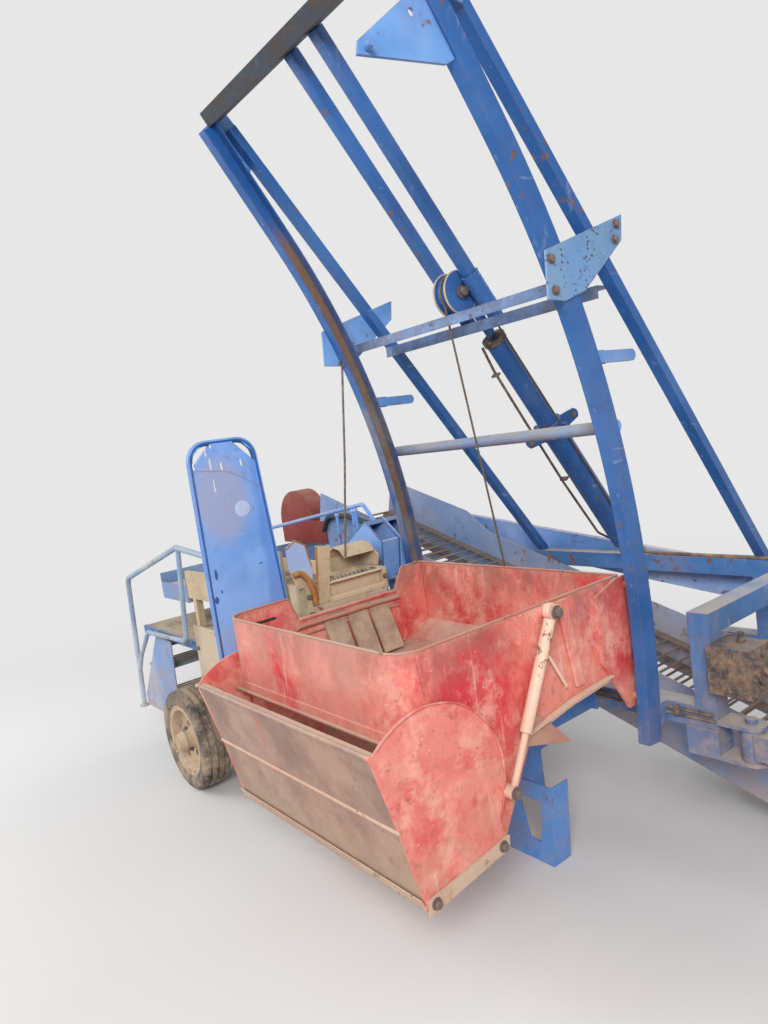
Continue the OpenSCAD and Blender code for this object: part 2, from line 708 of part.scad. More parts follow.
module spiral_roller() {
    c = [table_front_x - 60, belt_z + 40];
    color("tan") {
        disc_y(table_right_y + 25 + seat, table_left_y - 25 - seat, c, 22);
        for (i = [0:13]) disc_y(table_right_y + 60 + i * 24, table_right_y + 68 + i * 24, c, 36);
    }
}

module chute_plates() {
    color("wheat") {
        block([table_front_x - 20, table_right_y + 25 + seat, 975], [-722, table_left_y - 25 - seat, 1000]);
        block([table_front_x - 260, table_right_y - 12, belt_z - 20],
              [table_front_x - 160, table_right_y - seat, belt_z + 230]);
    }
}

module guard_rail() {
    y = 85;
    foot = deck_z + seat;
    rear = table_rear_x - 397.5;
    color("lightblue") {
        pipe([[rear, y, 1055 + seat], [rear, y, 1184], [-1230, y, 1352], [-1150, y, 1263],
              [-1150, y, foot]], 11, 40);
        for (p = [[-1500, 1315], [-1336, 1337], [-1308, 1341]]) rod([p[0], y, p[1]], [p[0], y, foot], 9);
    }
}

module clod_bins() {
    color("royalblue") {
        for (y = [-60, 60]) difference() {
            along_y(y - 55, y + 55)
                polygon([[-1110, 1000], [-870, 1000], [-840, 1190], [-960, 1290], [-1125, 1190]]);
            along_y(y - 50, y + 50)
                polygon([[-1104, 1005], [-878, 1005], [-848, 1186], [-848, 1300], [-960, 1300], [-1118, 1188]]);
        }
        block([-1110, -115, 990], [-870, 115, 1001]);
        block([-1010, 20, deck_z], [-970, 60, 991]);
    }
}

// Mast: curved channel rails with straight tops, legs, top beam and cross bars
module channel_arc(x, side) {
    translate([x, arc_y, arc_z]) rotate([90, 0, 90]) rotate([0, 0, arc_low])
        rotate_extrude(angle = arc_high - arc_low, $fn = 360) translate([arc_r, 0]) channel_section(side);
}
// The rails' full section with a margin, to trim what is seated on them
module rails_space(g) {
    for (x = [rail_rear, rail_front]) {
        translate([x, arc_y, arc_z]) rotate([90, 0, 90]) rotate([0, 0, arc_low])
            rotate_extrude(angle = arc_high - arc_low + 0.01, $fn = 360) translate([arc_r, 0])
                square([channel_h + 2 * g, channel_w + 2 * g], center = true);
        beam_yz(x, arc_top, rail_end + 10 * rail_dir, channel_w + 2 * g, channel_h + 2 * g);
    }
}
module channel_section(side) {
    h = channel_h / 2;
    w = channel_w / 2;
    difference() {
        translate([-h, -w]) square([2 * h, 2 * w]);
        translate([-h + channel_t, side > 0 ? -w - e : -w + channel_t])
            square([2 * h - 2 * channel_t, 2 * w - channel_t + e]);
    }
}
module mast_rails() {
    color("royalblue") for (s = [[rail_rear, -1], [rail_front, 1]]) {
        channel_arc(s[0], s[1]);
        translate([s[0], arc_top[0], arc_top[1]]) rotate([arc_high, 0, 0]) rotate([0, 0, 0])
            linear_extrude(rail_top_len) rotate(90) mirror([0, 1]) mirror([1, 0]) channel_section(s[1]);
    }
}

module mast_legs() {
    color("royalblue") difference() {
        for (x = [rail_rear, rail_front]) beam_yz(x, leg_foot, leg_top, channel_w, leg_h);
        rails_space(seat);
        block([rail_rear - 50, leg_foot[0] - 100, leg_foot[1] - 100],
              [rail_front + 50, leg_foot[0] + 100, leg_foot[1]]);
    }
}

module top_beam(g, h) {
    translate([rail_rear - channel_w / 2, rail_end[0], rail_end[1]]) rotate([arc_high, 0, 0])
        translate([0, 20 - g, -g]) cube([rail_front - rail_rear + channel_w, 80 + 2 * g, h + 2 * g]);
}
module mast_top() {
    color("saddlebrown") top_beam(0, 60);
}

// Heights of the middle bars, the cross tube and the lugs behind the rails
mid_z = 2118;
tube_z = 1620;
lug_z = 1866;
lug_r = 21;
plate_t = 8;
function rail_back_y(z, g) = arc_y + sqrt(pow(arc_back + g, 2) - pow(z - arc_z, 2));
// Middle line of a leg, and places near a rail's back and near a leg
function leg_y(z) = leg_foot[0] + (z - leg_foot[1]) * (leg_top[0] - leg_foot[0]) / (leg_top[1] - leg_foot[1]);
function off_rail(d, z) = [rail_back_y(z, 0) + d, z];
function off_leg(d, z) = [leg_y(z) + d, z];
module mast_bars() {
    front = rail_back_y(mid_z - 18, seat);
    tube_y = rail_back_y(tube_z, 24 + seat);
    lug_y = rail_back_y(lug_z, 0);
    x0 = rail_rear - channel_w / 2;
    x1 = rail_front + channel_w / 2;
    color("royalblue") {
        along_x(x0 - e, x1 + e) angle_bar([front, mid_z + 22], 40, 40, 5);
        difference() {
            along_x(rail_rear + channel_w / 2 + seat, rail_front - channel_w / 2 - seat)
                angle_bar([leg_y(mid_z) - 68, mid_z], 92, 45, 6);
            translate([mast_cx, lift_y, lift_z]) rotate([lift_slope, 0, 0]) translate([0, 0, -300])
                cylinder(h = 300, r = rod_r + 4);
        }
        disc_x(rail_rear, rail_front, [tube_y, tube_z], 24);
        // Gussets from the rails to the legs, in the middle and under the top beam
        for (x = [x0 - plate_t - seat, x1 + seat]) along_x(x, x + plate_t) {
            polygon([off_rail(-101, 2213), off_rail(-178, 2057), off_rail(-94, 2052), off_rail(31, 2087),
                     off_leg(141, 2262), off_leg(225, 2352)]);
            translate(rail_end)
                polygon([[-30, -17], [55, -127], [185, -147], [185, -67], [145, 33], [95, 93]]);
        }
        // Flat lugs behind the rails
        for (x = [rail_rear, rail_front]) difference() {
            along_x(x - plate_t, x + plate_t) translate([lug_y - 4, lug_z]) {
                translate([0, -lug_r]) square([220, 2 * lug_r]);
                translate([220, 0]) circle(lug_r);
            }
            disc_x_fine(x - 20, x + 20, arc_c, arc_back + seat);
        }
        // Pointed bracket with a stub pin, on the edge of the front rail's straight top
        along_x(rail_front + 4, rail_front + 14) difference() {
            polygon([rail_end + [-220, -357], rail_end + [-210, -317], rail_edge(120), rail_edge(330),
                     rail_end + [105, -322]]);
            translate(rail_end + [-8, -205]) circle(12);
        }
        disc_x(rail_front - 12, rail_front + 42, rail_end + [-190, -334], 10);
    }
}
// Place on the lower edge of a rail's straight top, at a distance below its end
function rail_edge(d) = rail_end - (channel_h / 2 + seat) * [cos(arc_high), sin(arc_high)] - d * rail_dir;
module angle_bar(p, w, h, t) {
    translate([p[0], p[1] - t]) square([w, t]);
    translate([p[0], p[1] - h]) square([t, h]);
}

module guide_tubes() {
    color("royalblue") difference() {
        for (x = [mast_cx - guide_dx, mast_cx + guide_dx])
            translate([x, lift_y, lift_z]) rotate([lift_slope, 0, 0]) translate([0, 0, -150])
                cylinder(h = 1330, r = guide_r);
        top_beam(seat, 200);
        block([mast_cx - 200, -300, mid_z - 200], [mast_cx + 200, 300, mid_z + seat]);
    }
}

barrel_top = 190;
collar_at = 702;
module lift_barrel() {
    foot = lift_foot_len;
    color("royalblue") translate([mast_cx, lift_y, lift_z]) rotate([lift_slope, 0, 0]) difference() {
        union() {
            translate([0, 0, -collar_at - 30]) cylinder(h = collar_at + 30 - barrel_top, r = barrel_r);
            translate([0, 0, -foot + 60]) cylinder(h = foot - 60 - collar_at, r = barrel_r + 9);
            translate([0, 0, -collar_at - 35]) cylinder(h = 70, r = barrel_r + 16);
            translate([-barrel_r - 45, -8, -collar_at - 22]) cube([2 * barrel_r + 90, 16, 44]);
            translate([-20, -20, -foot]) cube([40, 40, 65]);
            translate([-22, 0, -foot]) rotate([0, 90, 0]) cylinder(h = 44, r = 32);
        }
        translate([0, 0, -foot + 80]) cylinder(h = foot, r = rod_r + fit);
        translate([-30, 0, -foot]) rotate([0, 90, 0]) cylinder(h = 60, r = 14 + fit);
    }
}

lift_foot_len = norm(lift_foot - [lift_y, lift_z]);
module lift_block() {
    s = [-50, 80];
    color("royalblue") translate([mast_cx, lift_y, lift_z]) rotate([lift_slope, 0, 0]) {
        difference() {
            union() {
                for (x = [-guide_dx, guide_dx]) translate([x, 0, -40]) cylinder(h = 160, r = guide_r + 9);
                translate([-guide_dx, -12, -36]) cube([2 * guide_dx, 24, 130]);
            }
            for (x = [-guide_dx, guide_dx]) translate([x, 0, -80]) cylinder(h = 220, r = guide_r + fit);
        }
        translate([0, 0, 100 - lift_foot_len]) cylinder(h = lift_foot_len - 130, r = rod_r);
        for (x = [-36, 28]) disc_x(x, x + 8, s, sheave_r + 12);
        disc_x(-24, 24, s, sheave_r);
        disc_x(-42, 42, s, 16);
    }
}

// Bunker section across the machine: the folded sheet's outer face, from rim to rim
bunker_line = [
    [bunker_out_y, bunker_rim_z], [bunker_out_y, 345], [-742, 374], [-580, 635], [-318, 709], [-126, 722],
    [-24, 768], [bunker_in_y, 790], [bunker_in_y, bunker_rim_z]
];
module bunker_hollow(t) {
    inner = [for (i = [0:len(bunker_line) - 1]) miter(bunker_line, i, t)];
    polygon([inner[0] + [0, 60], each inner, inner[len(inner) - 1] + [0, 60]]);
}
flap_top_eye = [-428, 1051];
flap_low_eye = [-711, 538];
flap_rod_dir = unit(flap_low_eye - flap_top_eye);
strut_x = bunker_front_x + 32;
ear_w = 10;
ear_x = [bunker_rear_x + 120, mast_cx, bunker_front_x - 120];
module plan(t) {
    r = bunker_corner_r - t;
    x0 = bunker_rear_x + t;
    x1 = bunker_front_x - t;
    y0 = bunker_out_y + t;
    y1 = bunker_in_y - t;
    translate([x0 + r, y0]) square([x1 - x0 - 2 * r, y1 - y0]);
    translate([x0, y0 + r]) square([x1 - x0, y1 - y0 - r]);
    for (x = [x0 + r, x1 - r]) translate([x, y0 + r]) circle(r);
}
module bunker_shell() {
    t = bunker_t;
    color("firebrick") {
        difference() {
            intersection() {
                along_x(bunker_rear_x, bunker_front_x) polygon(bunker_line);
                translate([0, 0, 300]) linear_extrude(bunker_rim_z - 300) plan(0);
            }
            intersection() {
                along_x(bunker_rear_x + t, bunker_front_x - t) bunker_hollow(t);
                translate([0, 0, 300]) linear_extrude(1000) plan(t);
            }
            // Discharge window and intake notch
            along_x(bunker_rear_x + t, bunker_front_x - t)
                polygon([[bunker_out_y - 1, 346 + t], [bunker_out_y + bunker_corner_r, 355 + t],
                         [bunker_out_y + bunker_corner_r, window_top_z], [bunker_out_y - 1, window_top_z]]);
            along_x(bunker_rear_x - 50, bunker_rear_x + 50)
                polygon([[-760, bunker_rim_z + e], [-720, 975], [-190, 975], [-130, bunker_rim_z + e]]);
        }
        disc_y(-725, -185, [bunker_rear_x + 2, 972], 9);
        // Pin of the strut's upper eye
        disc_x(bunker_front_x - t, strut_x + 22, flap_top_eye, 12);
        disc_x(bunker_front_x - e, strut_x - 14 - seat, flap_top_eye, 24);
        disc_x(strut_x + 14 + seat, strut_x + 22, flap_top_eye, 20);
        // Ears of the flap's hinge, with their pins
        for (x = ear_x) {
            along_x(x - ear_w / 2, x + ear_w / 2) {
                polygon([[bunker_out_y + 60, 350], [bunker_out_y, 346], [flap_y - 3, flap_z + 13],
                         [flap_y, flap_z - 16], [flap_y + 10, flap_z - 13]]);
                translate([flap_y, flap_z]) circle(16);
            }
            disc_x(x - ear_w / 2 - 30, x + ear_w / 2 + 30, [flap_y, flap_z], 8);
        }
    }
}

module bunker_slats() {
    x = bunker_rear_x + bunker_t + seat;
    color("tan") for (i = [0:2]) translate([0, -600 + i * 125, 0]) along_y(0, 110)
        sheet([[x + 8, 960], [x + 8, 915], [x + 84, 730]], -8);
}

module bunker_carriage() {
    color("firebrick") for (s = [[bunker_rear_x, -1], [bunker_front_x, 1]]) {
        x = s[0];
        d = s[1];
        along_x(min(x, x + 12 * d), max(x, x + 12 * d))
            polygon([[-160, 1030], [-160, 780], [-30, 575], [30, 575], [32, 700], [30, 1070], [-30, 1070]]);
        for (a = [-5, 2.5]) {
            p = [arc_y + arc_r * cos(a), arc_z + arc_r * sin(a)];
            disc_x(min(x, x + 80 * d), max(x, x + 80 * d), p, 14);
            disc_x(min(x + 48 * d, x + 78 * d), max(x + 48 * d, x + 78 * d), p,
                   channel_h / 2 - channel_t - 0.5);
        }
    }
}

// Flap: lip plate on its hinge tube, with a curved cheek at each end
module flap() {
    c = [cheek_y, cheek_z];
    x0 = bunker_rear_x - 12;
    x1 = bunker_front_x + 12;
    color("firebrick") difference() {
        union() {
            disc_x(x0, x1, [flap_y, flap_z], 15);
            along_x(x0, x1) sheet([[flap_y - 6, flap_z], [flap_y - 62, 590], [lip_y + 12, lip_z]], flap_t);
            disc_x(x0, x1, [lip_y + 8, lip_z], 8);
            for (x = [x0, x1 - 5]) along_x(x, x + 5)
                polygon([[lip_y + 12, lip_z], each arc(c, cheek_r, 132, -32, 24), [-738, 372],
                         [flap_y + 20, flap_z - 14], [flap_y - 6, flap_z]]);
            along_x(x1 - 5, x1) translate(flap_low_eye) circle(24);
        }
        for (x = ear_x) {
            disc_x(x - ear_w / 2 - 1, x + ear_w / 2 + 1, [flap_y, flap_z], 22);
            disc_x(x - ear_w / 2 - 31, x + ear_w / 2 + 31, [flap_y, flap_z], 8 + fit);
        }
    }
}

module flap_barrel() {
    x = strut_x;
    a = flap_top_eye;
    b = flap_top_eye + 400 * flap_rod_dir;
    c = flap_top_eye + 27 * flap_rod_dir;
    color("rosybrown") difference() {
        union() {
            disc_x(x - 14, x + 14, a, 29);
            rod([x, c[0], c[1]], [x, b[0], b[1]], 20);
        }
        disc_x(x - 50, x + 50, a, 12 + fit);
        rod([x, (flap_top_eye + 60 * flap_rod_dir)[0], (flap_top_eye + 60 * flap_rod_dir)[1]],
            [x, (flap_top_eye + 410 * flap_rod_dir)[0], (flap_top_eye + 410 * flap_rod_dir)[1]], 12 + fit);
    }
}
module flap_rod() {
    x = strut_x;
    a = flap_top_eye + 100 * flap_rod_dir;
    color("rosybrown") {
        rod([x, a[0], a[1]], [x, flap_low_eye[0], flap_low_eye[1]], 12);
        disc_x(bunker_front_x + 12 + seat, x + 14, flap_low_eye, 22);
    }
}

main_frame();
platform_bearers();
foot_bracket();
axle();
wheel_right_rim();
wheel_right_tyre();
wheel_left_rim();
wheel_left_tyre();
drawbar();
parking_stand();
front_foot();
gearbox();
drive_guard();
web_walls();
main_web();
haulm_hood();
cross_conveyor();
share_frame();
shares();
ridge_roller();
disc_coulters();
platform();
steps();
handrail();
guard_board();
wheel_plate();
table_frame();
picking_belt();
spiral_roller();
chute_plates();
guard_rail();
clod_bins();
mast_rails();
mast_legs();
mast_top();
mast_bars();
guide_tubes();
lift_barrel();
lift_block();
bunker_shell();
bunker_slats();
bunker_carriage();
flap();
flap_barrel();
flap_rod();
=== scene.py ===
import math
import random
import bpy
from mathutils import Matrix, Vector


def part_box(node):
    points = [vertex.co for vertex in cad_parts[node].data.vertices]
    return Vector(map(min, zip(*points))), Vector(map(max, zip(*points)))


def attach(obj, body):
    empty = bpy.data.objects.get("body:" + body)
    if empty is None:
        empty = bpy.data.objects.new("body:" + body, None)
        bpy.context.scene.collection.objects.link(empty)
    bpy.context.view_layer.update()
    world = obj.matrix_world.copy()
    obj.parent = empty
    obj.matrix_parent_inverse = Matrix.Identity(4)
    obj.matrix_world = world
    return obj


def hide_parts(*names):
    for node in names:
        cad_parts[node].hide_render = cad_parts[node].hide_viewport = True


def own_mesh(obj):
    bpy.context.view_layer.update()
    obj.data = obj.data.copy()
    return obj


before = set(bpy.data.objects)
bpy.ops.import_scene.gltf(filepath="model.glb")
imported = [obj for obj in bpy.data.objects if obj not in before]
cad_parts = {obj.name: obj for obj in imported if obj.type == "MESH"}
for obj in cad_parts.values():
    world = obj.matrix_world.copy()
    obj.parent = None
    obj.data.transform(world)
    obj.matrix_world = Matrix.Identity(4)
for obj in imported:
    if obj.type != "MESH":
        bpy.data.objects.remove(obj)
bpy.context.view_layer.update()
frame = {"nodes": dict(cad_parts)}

from types import SimpleNamespace

import bpy
from bpy.props import FloatProperty, FloatVectorProperty, IntProperty, PointerProperty
from mathutils import Matrix, Vector

bl_info = {
    "name": "Potato harvester looks",
    "version": (1, 0, 0),
    "blender": (4, 5, 0),
    "location": "3D View > Sidebar > Harvester",
    "description": "Paints the harvester's frame and adds its small parts",
    "category": "Object",
}


# Sizes and colours

def colour(name, text, value):
    return FloatVectorProperty(name=name, description=text, subtype="COLOR", size=3, min=0.0, max=1.0,
                               default=value)


def length(name, text, value):
    return FloatProperty(name=name, description=text, subtype="DISTANCE", unit="LENGTH", min=0.0, default=value)


class HarvesterColours(bpy.types.PropertyGroup):
    mast: colour("Mast paint", "Deep blue of the mast and lift parts", (0.013, 0.085, 0.275))
    frame: colour("Frame paint", "Blue of the chassis", (0.035, 0.125, 0.30))
    panel: colour("Panel paint", "Faded blue of the guards and sheets", (0.130, 0.295, 0.65))
    bunker: colour("Bunker paint", "Red of the bunker and its flap", (0.60, 0.085, 0.070))
    bunker_fade: colour("Faded red", "Red where sun and dust have bleached it", (0.72, 0.26, 0.20))
    strut: colour("Strut paint", "Pale pink of the flap's strut", (0.78, 0.50, 0.38))
    cream: colour("Cream paint", "Dirty cream of the plates", (0.46, 0.37, 0.25))
    rail: colour("Rail paint", "Worn grey blue of the handrail", (0.22, 0.31, 0.42))
    hood: colour("Hood paint", "Brownish red of the haulm hood", (0.19, 0.020, 0.016))
    rust: colour("Rust", "Rust on worn edges", (0.16, 0.07, 0.035))
    mud: colour("Dried mud", "Dried earth on the sheets", (0.42, 0.29, 0.19))
    dust: colour("Dust", "Dust on what faces upwards", (0.48, 0.40, 0.30))
    rubber: colour("Rubber", "Tyres and belts", (0.035, 0.032, 0.03))
    steel: colour("Worn steel", "Bare steel of the web and shares", (0.22, 0.19, 0.16))
    floor: colour("Floor", "Pale floor of the studio", (0.62, 0.61, 0.59))


class HarvesterSizes(bpy.types.PropertyGroup):
    rope: length("Lift rope", "Radius of the lift rope", 0.005)
    line: length("Oil line", "Radius of the steel oil lines", 0.006)
    rolled_edge: length("Rolled edge", "Radius of the bunker's rolled rim", 0.007)
    lugs: IntProperty(name="Tyre lugs", description="Number of tread blocks round a tyre", default=40, min=12,
                      max=80)


# Places on the machine, as the frame has them, in metres

BUNKER_REAR, BUNKER_FRONT = -0.703, 0.418
BUNKER_OUT, BUNKER_BACK, BUNKER_RIM = -1.055, 0.0, 1.077
BUNKER_CORNER = 0.09
NOTCH = ((-0.762, BUNKER_RIM), (-0.722, 0.975), (-0.188, 0.975), (-0.128, BUNKER_RIM))
HINGE = (-1.080, 0.335)
FLAP_FOLD = (-1.142, 0.590)
FLAP_LIP = (-1.212, 0.838)
CHEEK, CHEEK_R = (-1.010, 0.623), 0.295
BOARD_FACE = -0.8437
BOARD_MID = -0.8547
ARC_Y, ARC_Z, ARC_R = -3.208, 0.895, 3.229
RAIL_REAR, RAIL_FRONT = BUNKER_REAR - 0.065, BUNKER_FRONT + 0.065
RAIL_W = 0.045
MAST_X = (BUNKER_REAR + BUNKER_FRONT) / 2
LIFT_SLOPE = math.radians(36.4)
LIFT = Vector((MAST_X, -0.003, 2.195))
LIFT_UP = Vector((0.0, -math.sin(LIFT_SLOPE), math.cos(LIFT_SLOPE)))
LIFT_OUT = Vector((0.0, math.cos(LIFT_SLOPE), math.sin(LIFT_SLOPE)))
LIFT_FOOT = LIFT - LIFT_UP * (LIFT.z - 0.975) / math.cos(LIFT_SLOPE)
TABLE_RIGHT, TABLE_LEFT, TABLE_FRONT = -0.640, -0.185, -0.745
CHUTE_TOP = 1.0
HANDRAIL_Y = -0.848
WHEEL_PLATE_FACE = -0.8033
DRAWBAR_Y = 0.130


def on_lift(side, up, out=0.0):
    """A place beside the lift line: across the machine, along the line and out behind it."""
    return LIFT + Vector((side, 0, 0)) + LIFT_UP * up + LIFT_OUT * out


SHEAVE = on_lift(0, 0.080, -0.050)
SHEAVE_R = 0.074
COLLAR_UP = -0.702


# Node helpers for the finishes

def fill(node, **values):
    """Sets a node's inputs by their names."""
    for name, value in values.items():
        node.inputs[name].default_value = value


class Finish:
    """One node material, built with short calls."""

    def __init__(self, name):
        old = bpy.data.materials.get(name)
        if old:
            bpy.data.materials.remove(old)
        self.mat = bpy.data.materials.new(name)
        self.mat.use_nodes = True
        self.nodes = self.mat.node_tree.nodes
        self.links = self.mat.node_tree.links
        self.skin = self.nodes["Principled BSDF"]
        self.coord = self.nodes.new("ShaderNodeTexCoord").outputs["Object"]

    def link(self, a, b):
        self.links.new(a, b)

    def put(self, socket, value):
        if hasattr(value, "links"):
            self.link(value, socket)
        elif isinstance(value, (tuple, list)) and len(value) == 3 and len(socket.default_value) == 4:
            socket.default_value = (*value, 1.0)
        else:
            socket.default_value = value

    def mapped(self, scale=(1, 1, 1), turn=(0, 0, 0), move=(0, 0, 0)):
        m = self.nodes.new("ShaderNodeMapping")
        self.link(self.coord, m.inputs["Vector"])
        fill(m, Scale=scale, Rotation=turn, Location=move)
        return m.outputs["Vector"]

    def noise(self, scale, detail=5.0, rough=0.55, vec=None, warp=0.0):
        n = self.nodes.new("ShaderNodeTexNoise")
        self.link(vec or self.coord, n.inputs["Vector"])
        fill(n, Scale=scale, Detail=detail, Roughness=rough, Distortion=warp)
        return n.outputs["Fac"]

    def cells(self, scale, feature="F1", vec=None):
        n = self.nodes.new("ShaderNodeTexVoronoi")
        n.feature = feature
        self.link(vec or self.coord, n.inputs["Vector"])
        fill(n, Scale=scale)
        return n.outputs["Distance"]

    def step(self, value, low, high, out_low=0.0, out_high=1.0):
        n = self.nodes.new("ShaderNodeMapRange")
        n.interpolation_type = "SMOOTHSTEP"
        self.put(n.inputs["Value"], value)
        fill(n, **{"From Min": low, "From Max": high, "To Min": out_low, "To Max": out_high})
        return n.outputs["Result"]

    def math(self, op, a, b=0.0, clamp=True):
        """A sum or a difference is kept between nought and one, unless clamp is off."""
        n = self.nodes.new("ShaderNodeMath")
        n.operation = op
        self.put(n.inputs[0], a)
        self.put(n.inputs[1], b)
        n.use_clamp = clamp and op in ("ADD", "SUBTRACT")
        return n.outputs[0]

    def times(self, a, b):
        return self.math("MULTIPLY", a, b)

    def total(self, a, b):
        """A sum that may fall under nought or go over one."""
        return self.math("ADD", a, b, False)

    def blend(self, fac, a, b):
        n = self.nodes.new("ShaderNodeMix")
        n.data_type = "RGBA"
        self.put(n.inputs[0], fac)
        self.put(n.inputs[6], a)
        self.put(n.inputs[7], b)
        return n.outputs[2]

    def axis(self, which, source=None):
        n = self.nodes.new("ShaderNodeSeparateXYZ")
        self.link(source or self.coord, n.inputs[0])
        return n.outputs[which]

    def facing_up(self):
        g = self.nodes.new("ShaderNodeNewGeometry")
        return self.axis("Z", g.outputs["Normal"])

    def edges(self, radius, low=0.02, high=0.25):
        """Bright where a corner lies within the radius."""
        b = self.nodes.new("ShaderNodeBevel")
        b.samples = 4
        b.inputs["Radius"].default_value = radius
        g = self.nodes.new("ShaderNodeNewGeometry")
        d = self.nodes.new("ShaderNodeVectorMath")
        d.operation = "DOT_PRODUCT"
        self.link(b.outputs["Normal"], d.inputs[0])
        self.link(g.outputs["Normal"], d.inputs[1])
        return self.step(self.math("SUBTRACT", 1.0, d.outputs["Value"]), low, high)

    def bump(self, height, depth, strength=1.0, round_edges=0.0):
        n = self.nodes.new("ShaderNodeBump")
        fill(n, Distance=depth, Strength=strength)
        self.link(height, n.inputs["Height"])
        if round_edges:
            b = self.nodes.new("ShaderNodeBevel")
            b.samples = 4
            b.inputs["Radius"].default_value = round_edges
            self.link(b.outputs["Normal"], n.inputs["Normal"])
        self.link(n.outputs["Normal"], self.skin.inputs["Normal"])


def mix3(a, b, t):
    return tuple(a[i] * (1 - t) + b[i] * t for i in range(3))


def old_paint(name, paint, fade, marks, wear, mud, dust, rust, gloss, low_mud, scratches):
    """Sheet or tube paint that has faded, chipped to rust, and gathered dust and mud."""
    c = bpy.context.scene.harvester_colours
    f = Finish(name)
    base = f.blend(f.step(f.noise(1.6, 6), 0.38, 0.66), paint, fade)
    base = f.blend(f.step(f.noise(9.0, 8, 0.7), 0.52, 0.75, 0.0, 0.5), base, mix3(paint, (0.02, 0.02, 0.02),
            0.35))
    # Pale scuffs, drawn out along the sheets
    scuff = f.noise(14.0, 9, 0.72, f.mapped((1.0, 1.0, 0.25), (0.35, 0.2, 0.5)), 0.6)
    base = f.blend(f.step(scuff, 0.60, 0.72, 0.0, 0.55 * scratches), base, mix3(fade, (0.75, 0.72, 0.68), 0.5))
    thin = f.noise(70.0, 3, 0.5, f.mapped((1.0, 0.06, 0.5), (0.5, 0.1, 0.9)))
    base = f.blend(f.step(thin, 0.66, 0.72, 0.0, 0.5 * scratches), base, mix3(fade, (0.8, 0.78, 0.75), 0.4))
    # Rust along the edges and in chips
    edge = f.times(f.edges(0.004), f.step(f.noise(26.0, 6, 0.7), 0.60 - 0.35 * wear, 0.72 - 0.3 * wear))
    chips = f.step(f.times(f.noise(21.0, 10, 0.75, warp=0.4), f.step(f.noise(2.3, 3), 0.30, 0.62, 0.55, 1.0)),
                   0.60 - 0.12 * rust, 0.64 - 0.12 * rust)
    worn = f.math("ADD", f.times(edge, 0.9), chips)
    rust_tone = f.blend(f.noise(45.0, 6, 0.7), mix3(tuple(c.rust), (0.05, 0.03, 0.02), 0.5),
                        mix3(tuple(c.rust), (0.42, 0.19, 0.08), 0.45))
    base = f.blend(worn, base, rust_tone)
    if marks:
        base = marks(f, base)
    # Dust on what faces up, mud near the ground and in streaks
    lying = f.times(f.step(f.facing_up(), 0.25, 0.95), f.step(f.noise(5.0, 8, 0.65), 0.25, 0.62, 0.25, 1.0))
    film = f.step(f.noise(3.1, 9, 0.68, f.mapped((1.0, 1.0, 0.45))), 0.46, 0.72)
    near_ground = f.step(f.axis("Z"), 0.95, 0.15)
    splash = f.times(near_ground, f.step(f.noise(11.0, 9, 0.7), 0.40, 0.62))
    base = f.blend(f.times(film, 0.75 * mud), base, mix3(tuple(c.mud), paint, 0.12))
    base = f.blend(f.times(splash, low_mud), base, tuple(c.mud))
    base = f.blend(f.times(lying, dust), base, tuple(c.dust))
    f.put(f.skin.inputs["Base Color"], base)
    f.skin.inputs["Specular IOR Level"].default_value = 0.3
    dull = f.math("ADD", f.math("ADD", worn, f.times(film, mud)), f.math("ADD", f.times(lying, dust),
            f.times(splash, low_mud)))
    rough = f.step(f.math("ADD", dull, f.times(f.noise(30.0, 4), 0.25)), 0.0, 1.0, gloss, 0.92)
    f.put(f.skin.inputs["Roughness"], rough)
    height = f.math("ADD", f.times(worn, 0.5), f.math("ADD", f.times(f.noise(120.0, 4, 0.6), 0.12),
                                                      f.times(f.noise(24.0, 8, 0.7), 0.30)))
    f.bump(height, 0.0016, 0.6, 0.002)
    return f.mat


def within(f, value, centre, half, soft):
    """One inside a band about a centre, falling to nought over a soft edge."""
    return f.step(f.math("ABSOLUTE", f.total(value, -centre)), half + soft, half)


def board_marks(f, base):
    """Bleached lilac patch in the middle, chalky lower half, deep blue left at the top and the edges."""
    y, z = f.axis("Y"), f.axis("Z")
    wander = f.step(f.noise(7.0, 8, 0.65), 0.0, 1.0, -0.16, 0.16)
    reach = f.math("SQRT", f.total(f.math("POWER", f.times(f.total(y, 0.915), 6.6), 2.0),
                                  f.math("POWER", f.times(f.total(z, -1.535), 4.6), 2.0)))
    lilac = f.step(f.total(reach, wander), 1.05, 0.55)
    base = f.blend(f.times(lilac, 0.85), base, (0.315, 0.345, 0.50))
    low = f.times(f.step(z, 1.42, 1.22), f.step(f.noise(5.0, 7, 0.6), 0.30, 0.65))
    base = f.blend(f.times(low, 0.7), base, (0.26, 0.44, 0.82))
    rim = f.step(f.total(f.math("ABSOLUTE", f.total(y, 0.895)), f.times(wander, 0.12)), 0.118, 0.150)
    base = f.blend(f.times(rim, 0.5), base, (0.085, 0.22, 0.62))
    foot = f.times(f.step(z, 1.02, 0.90), f.step(f.noise(16.0, 8, 0.7), 0.40, 0.60))
    return f.blend(f.times(foot, 0.7), base, (0.42, 0.36, 0.31))


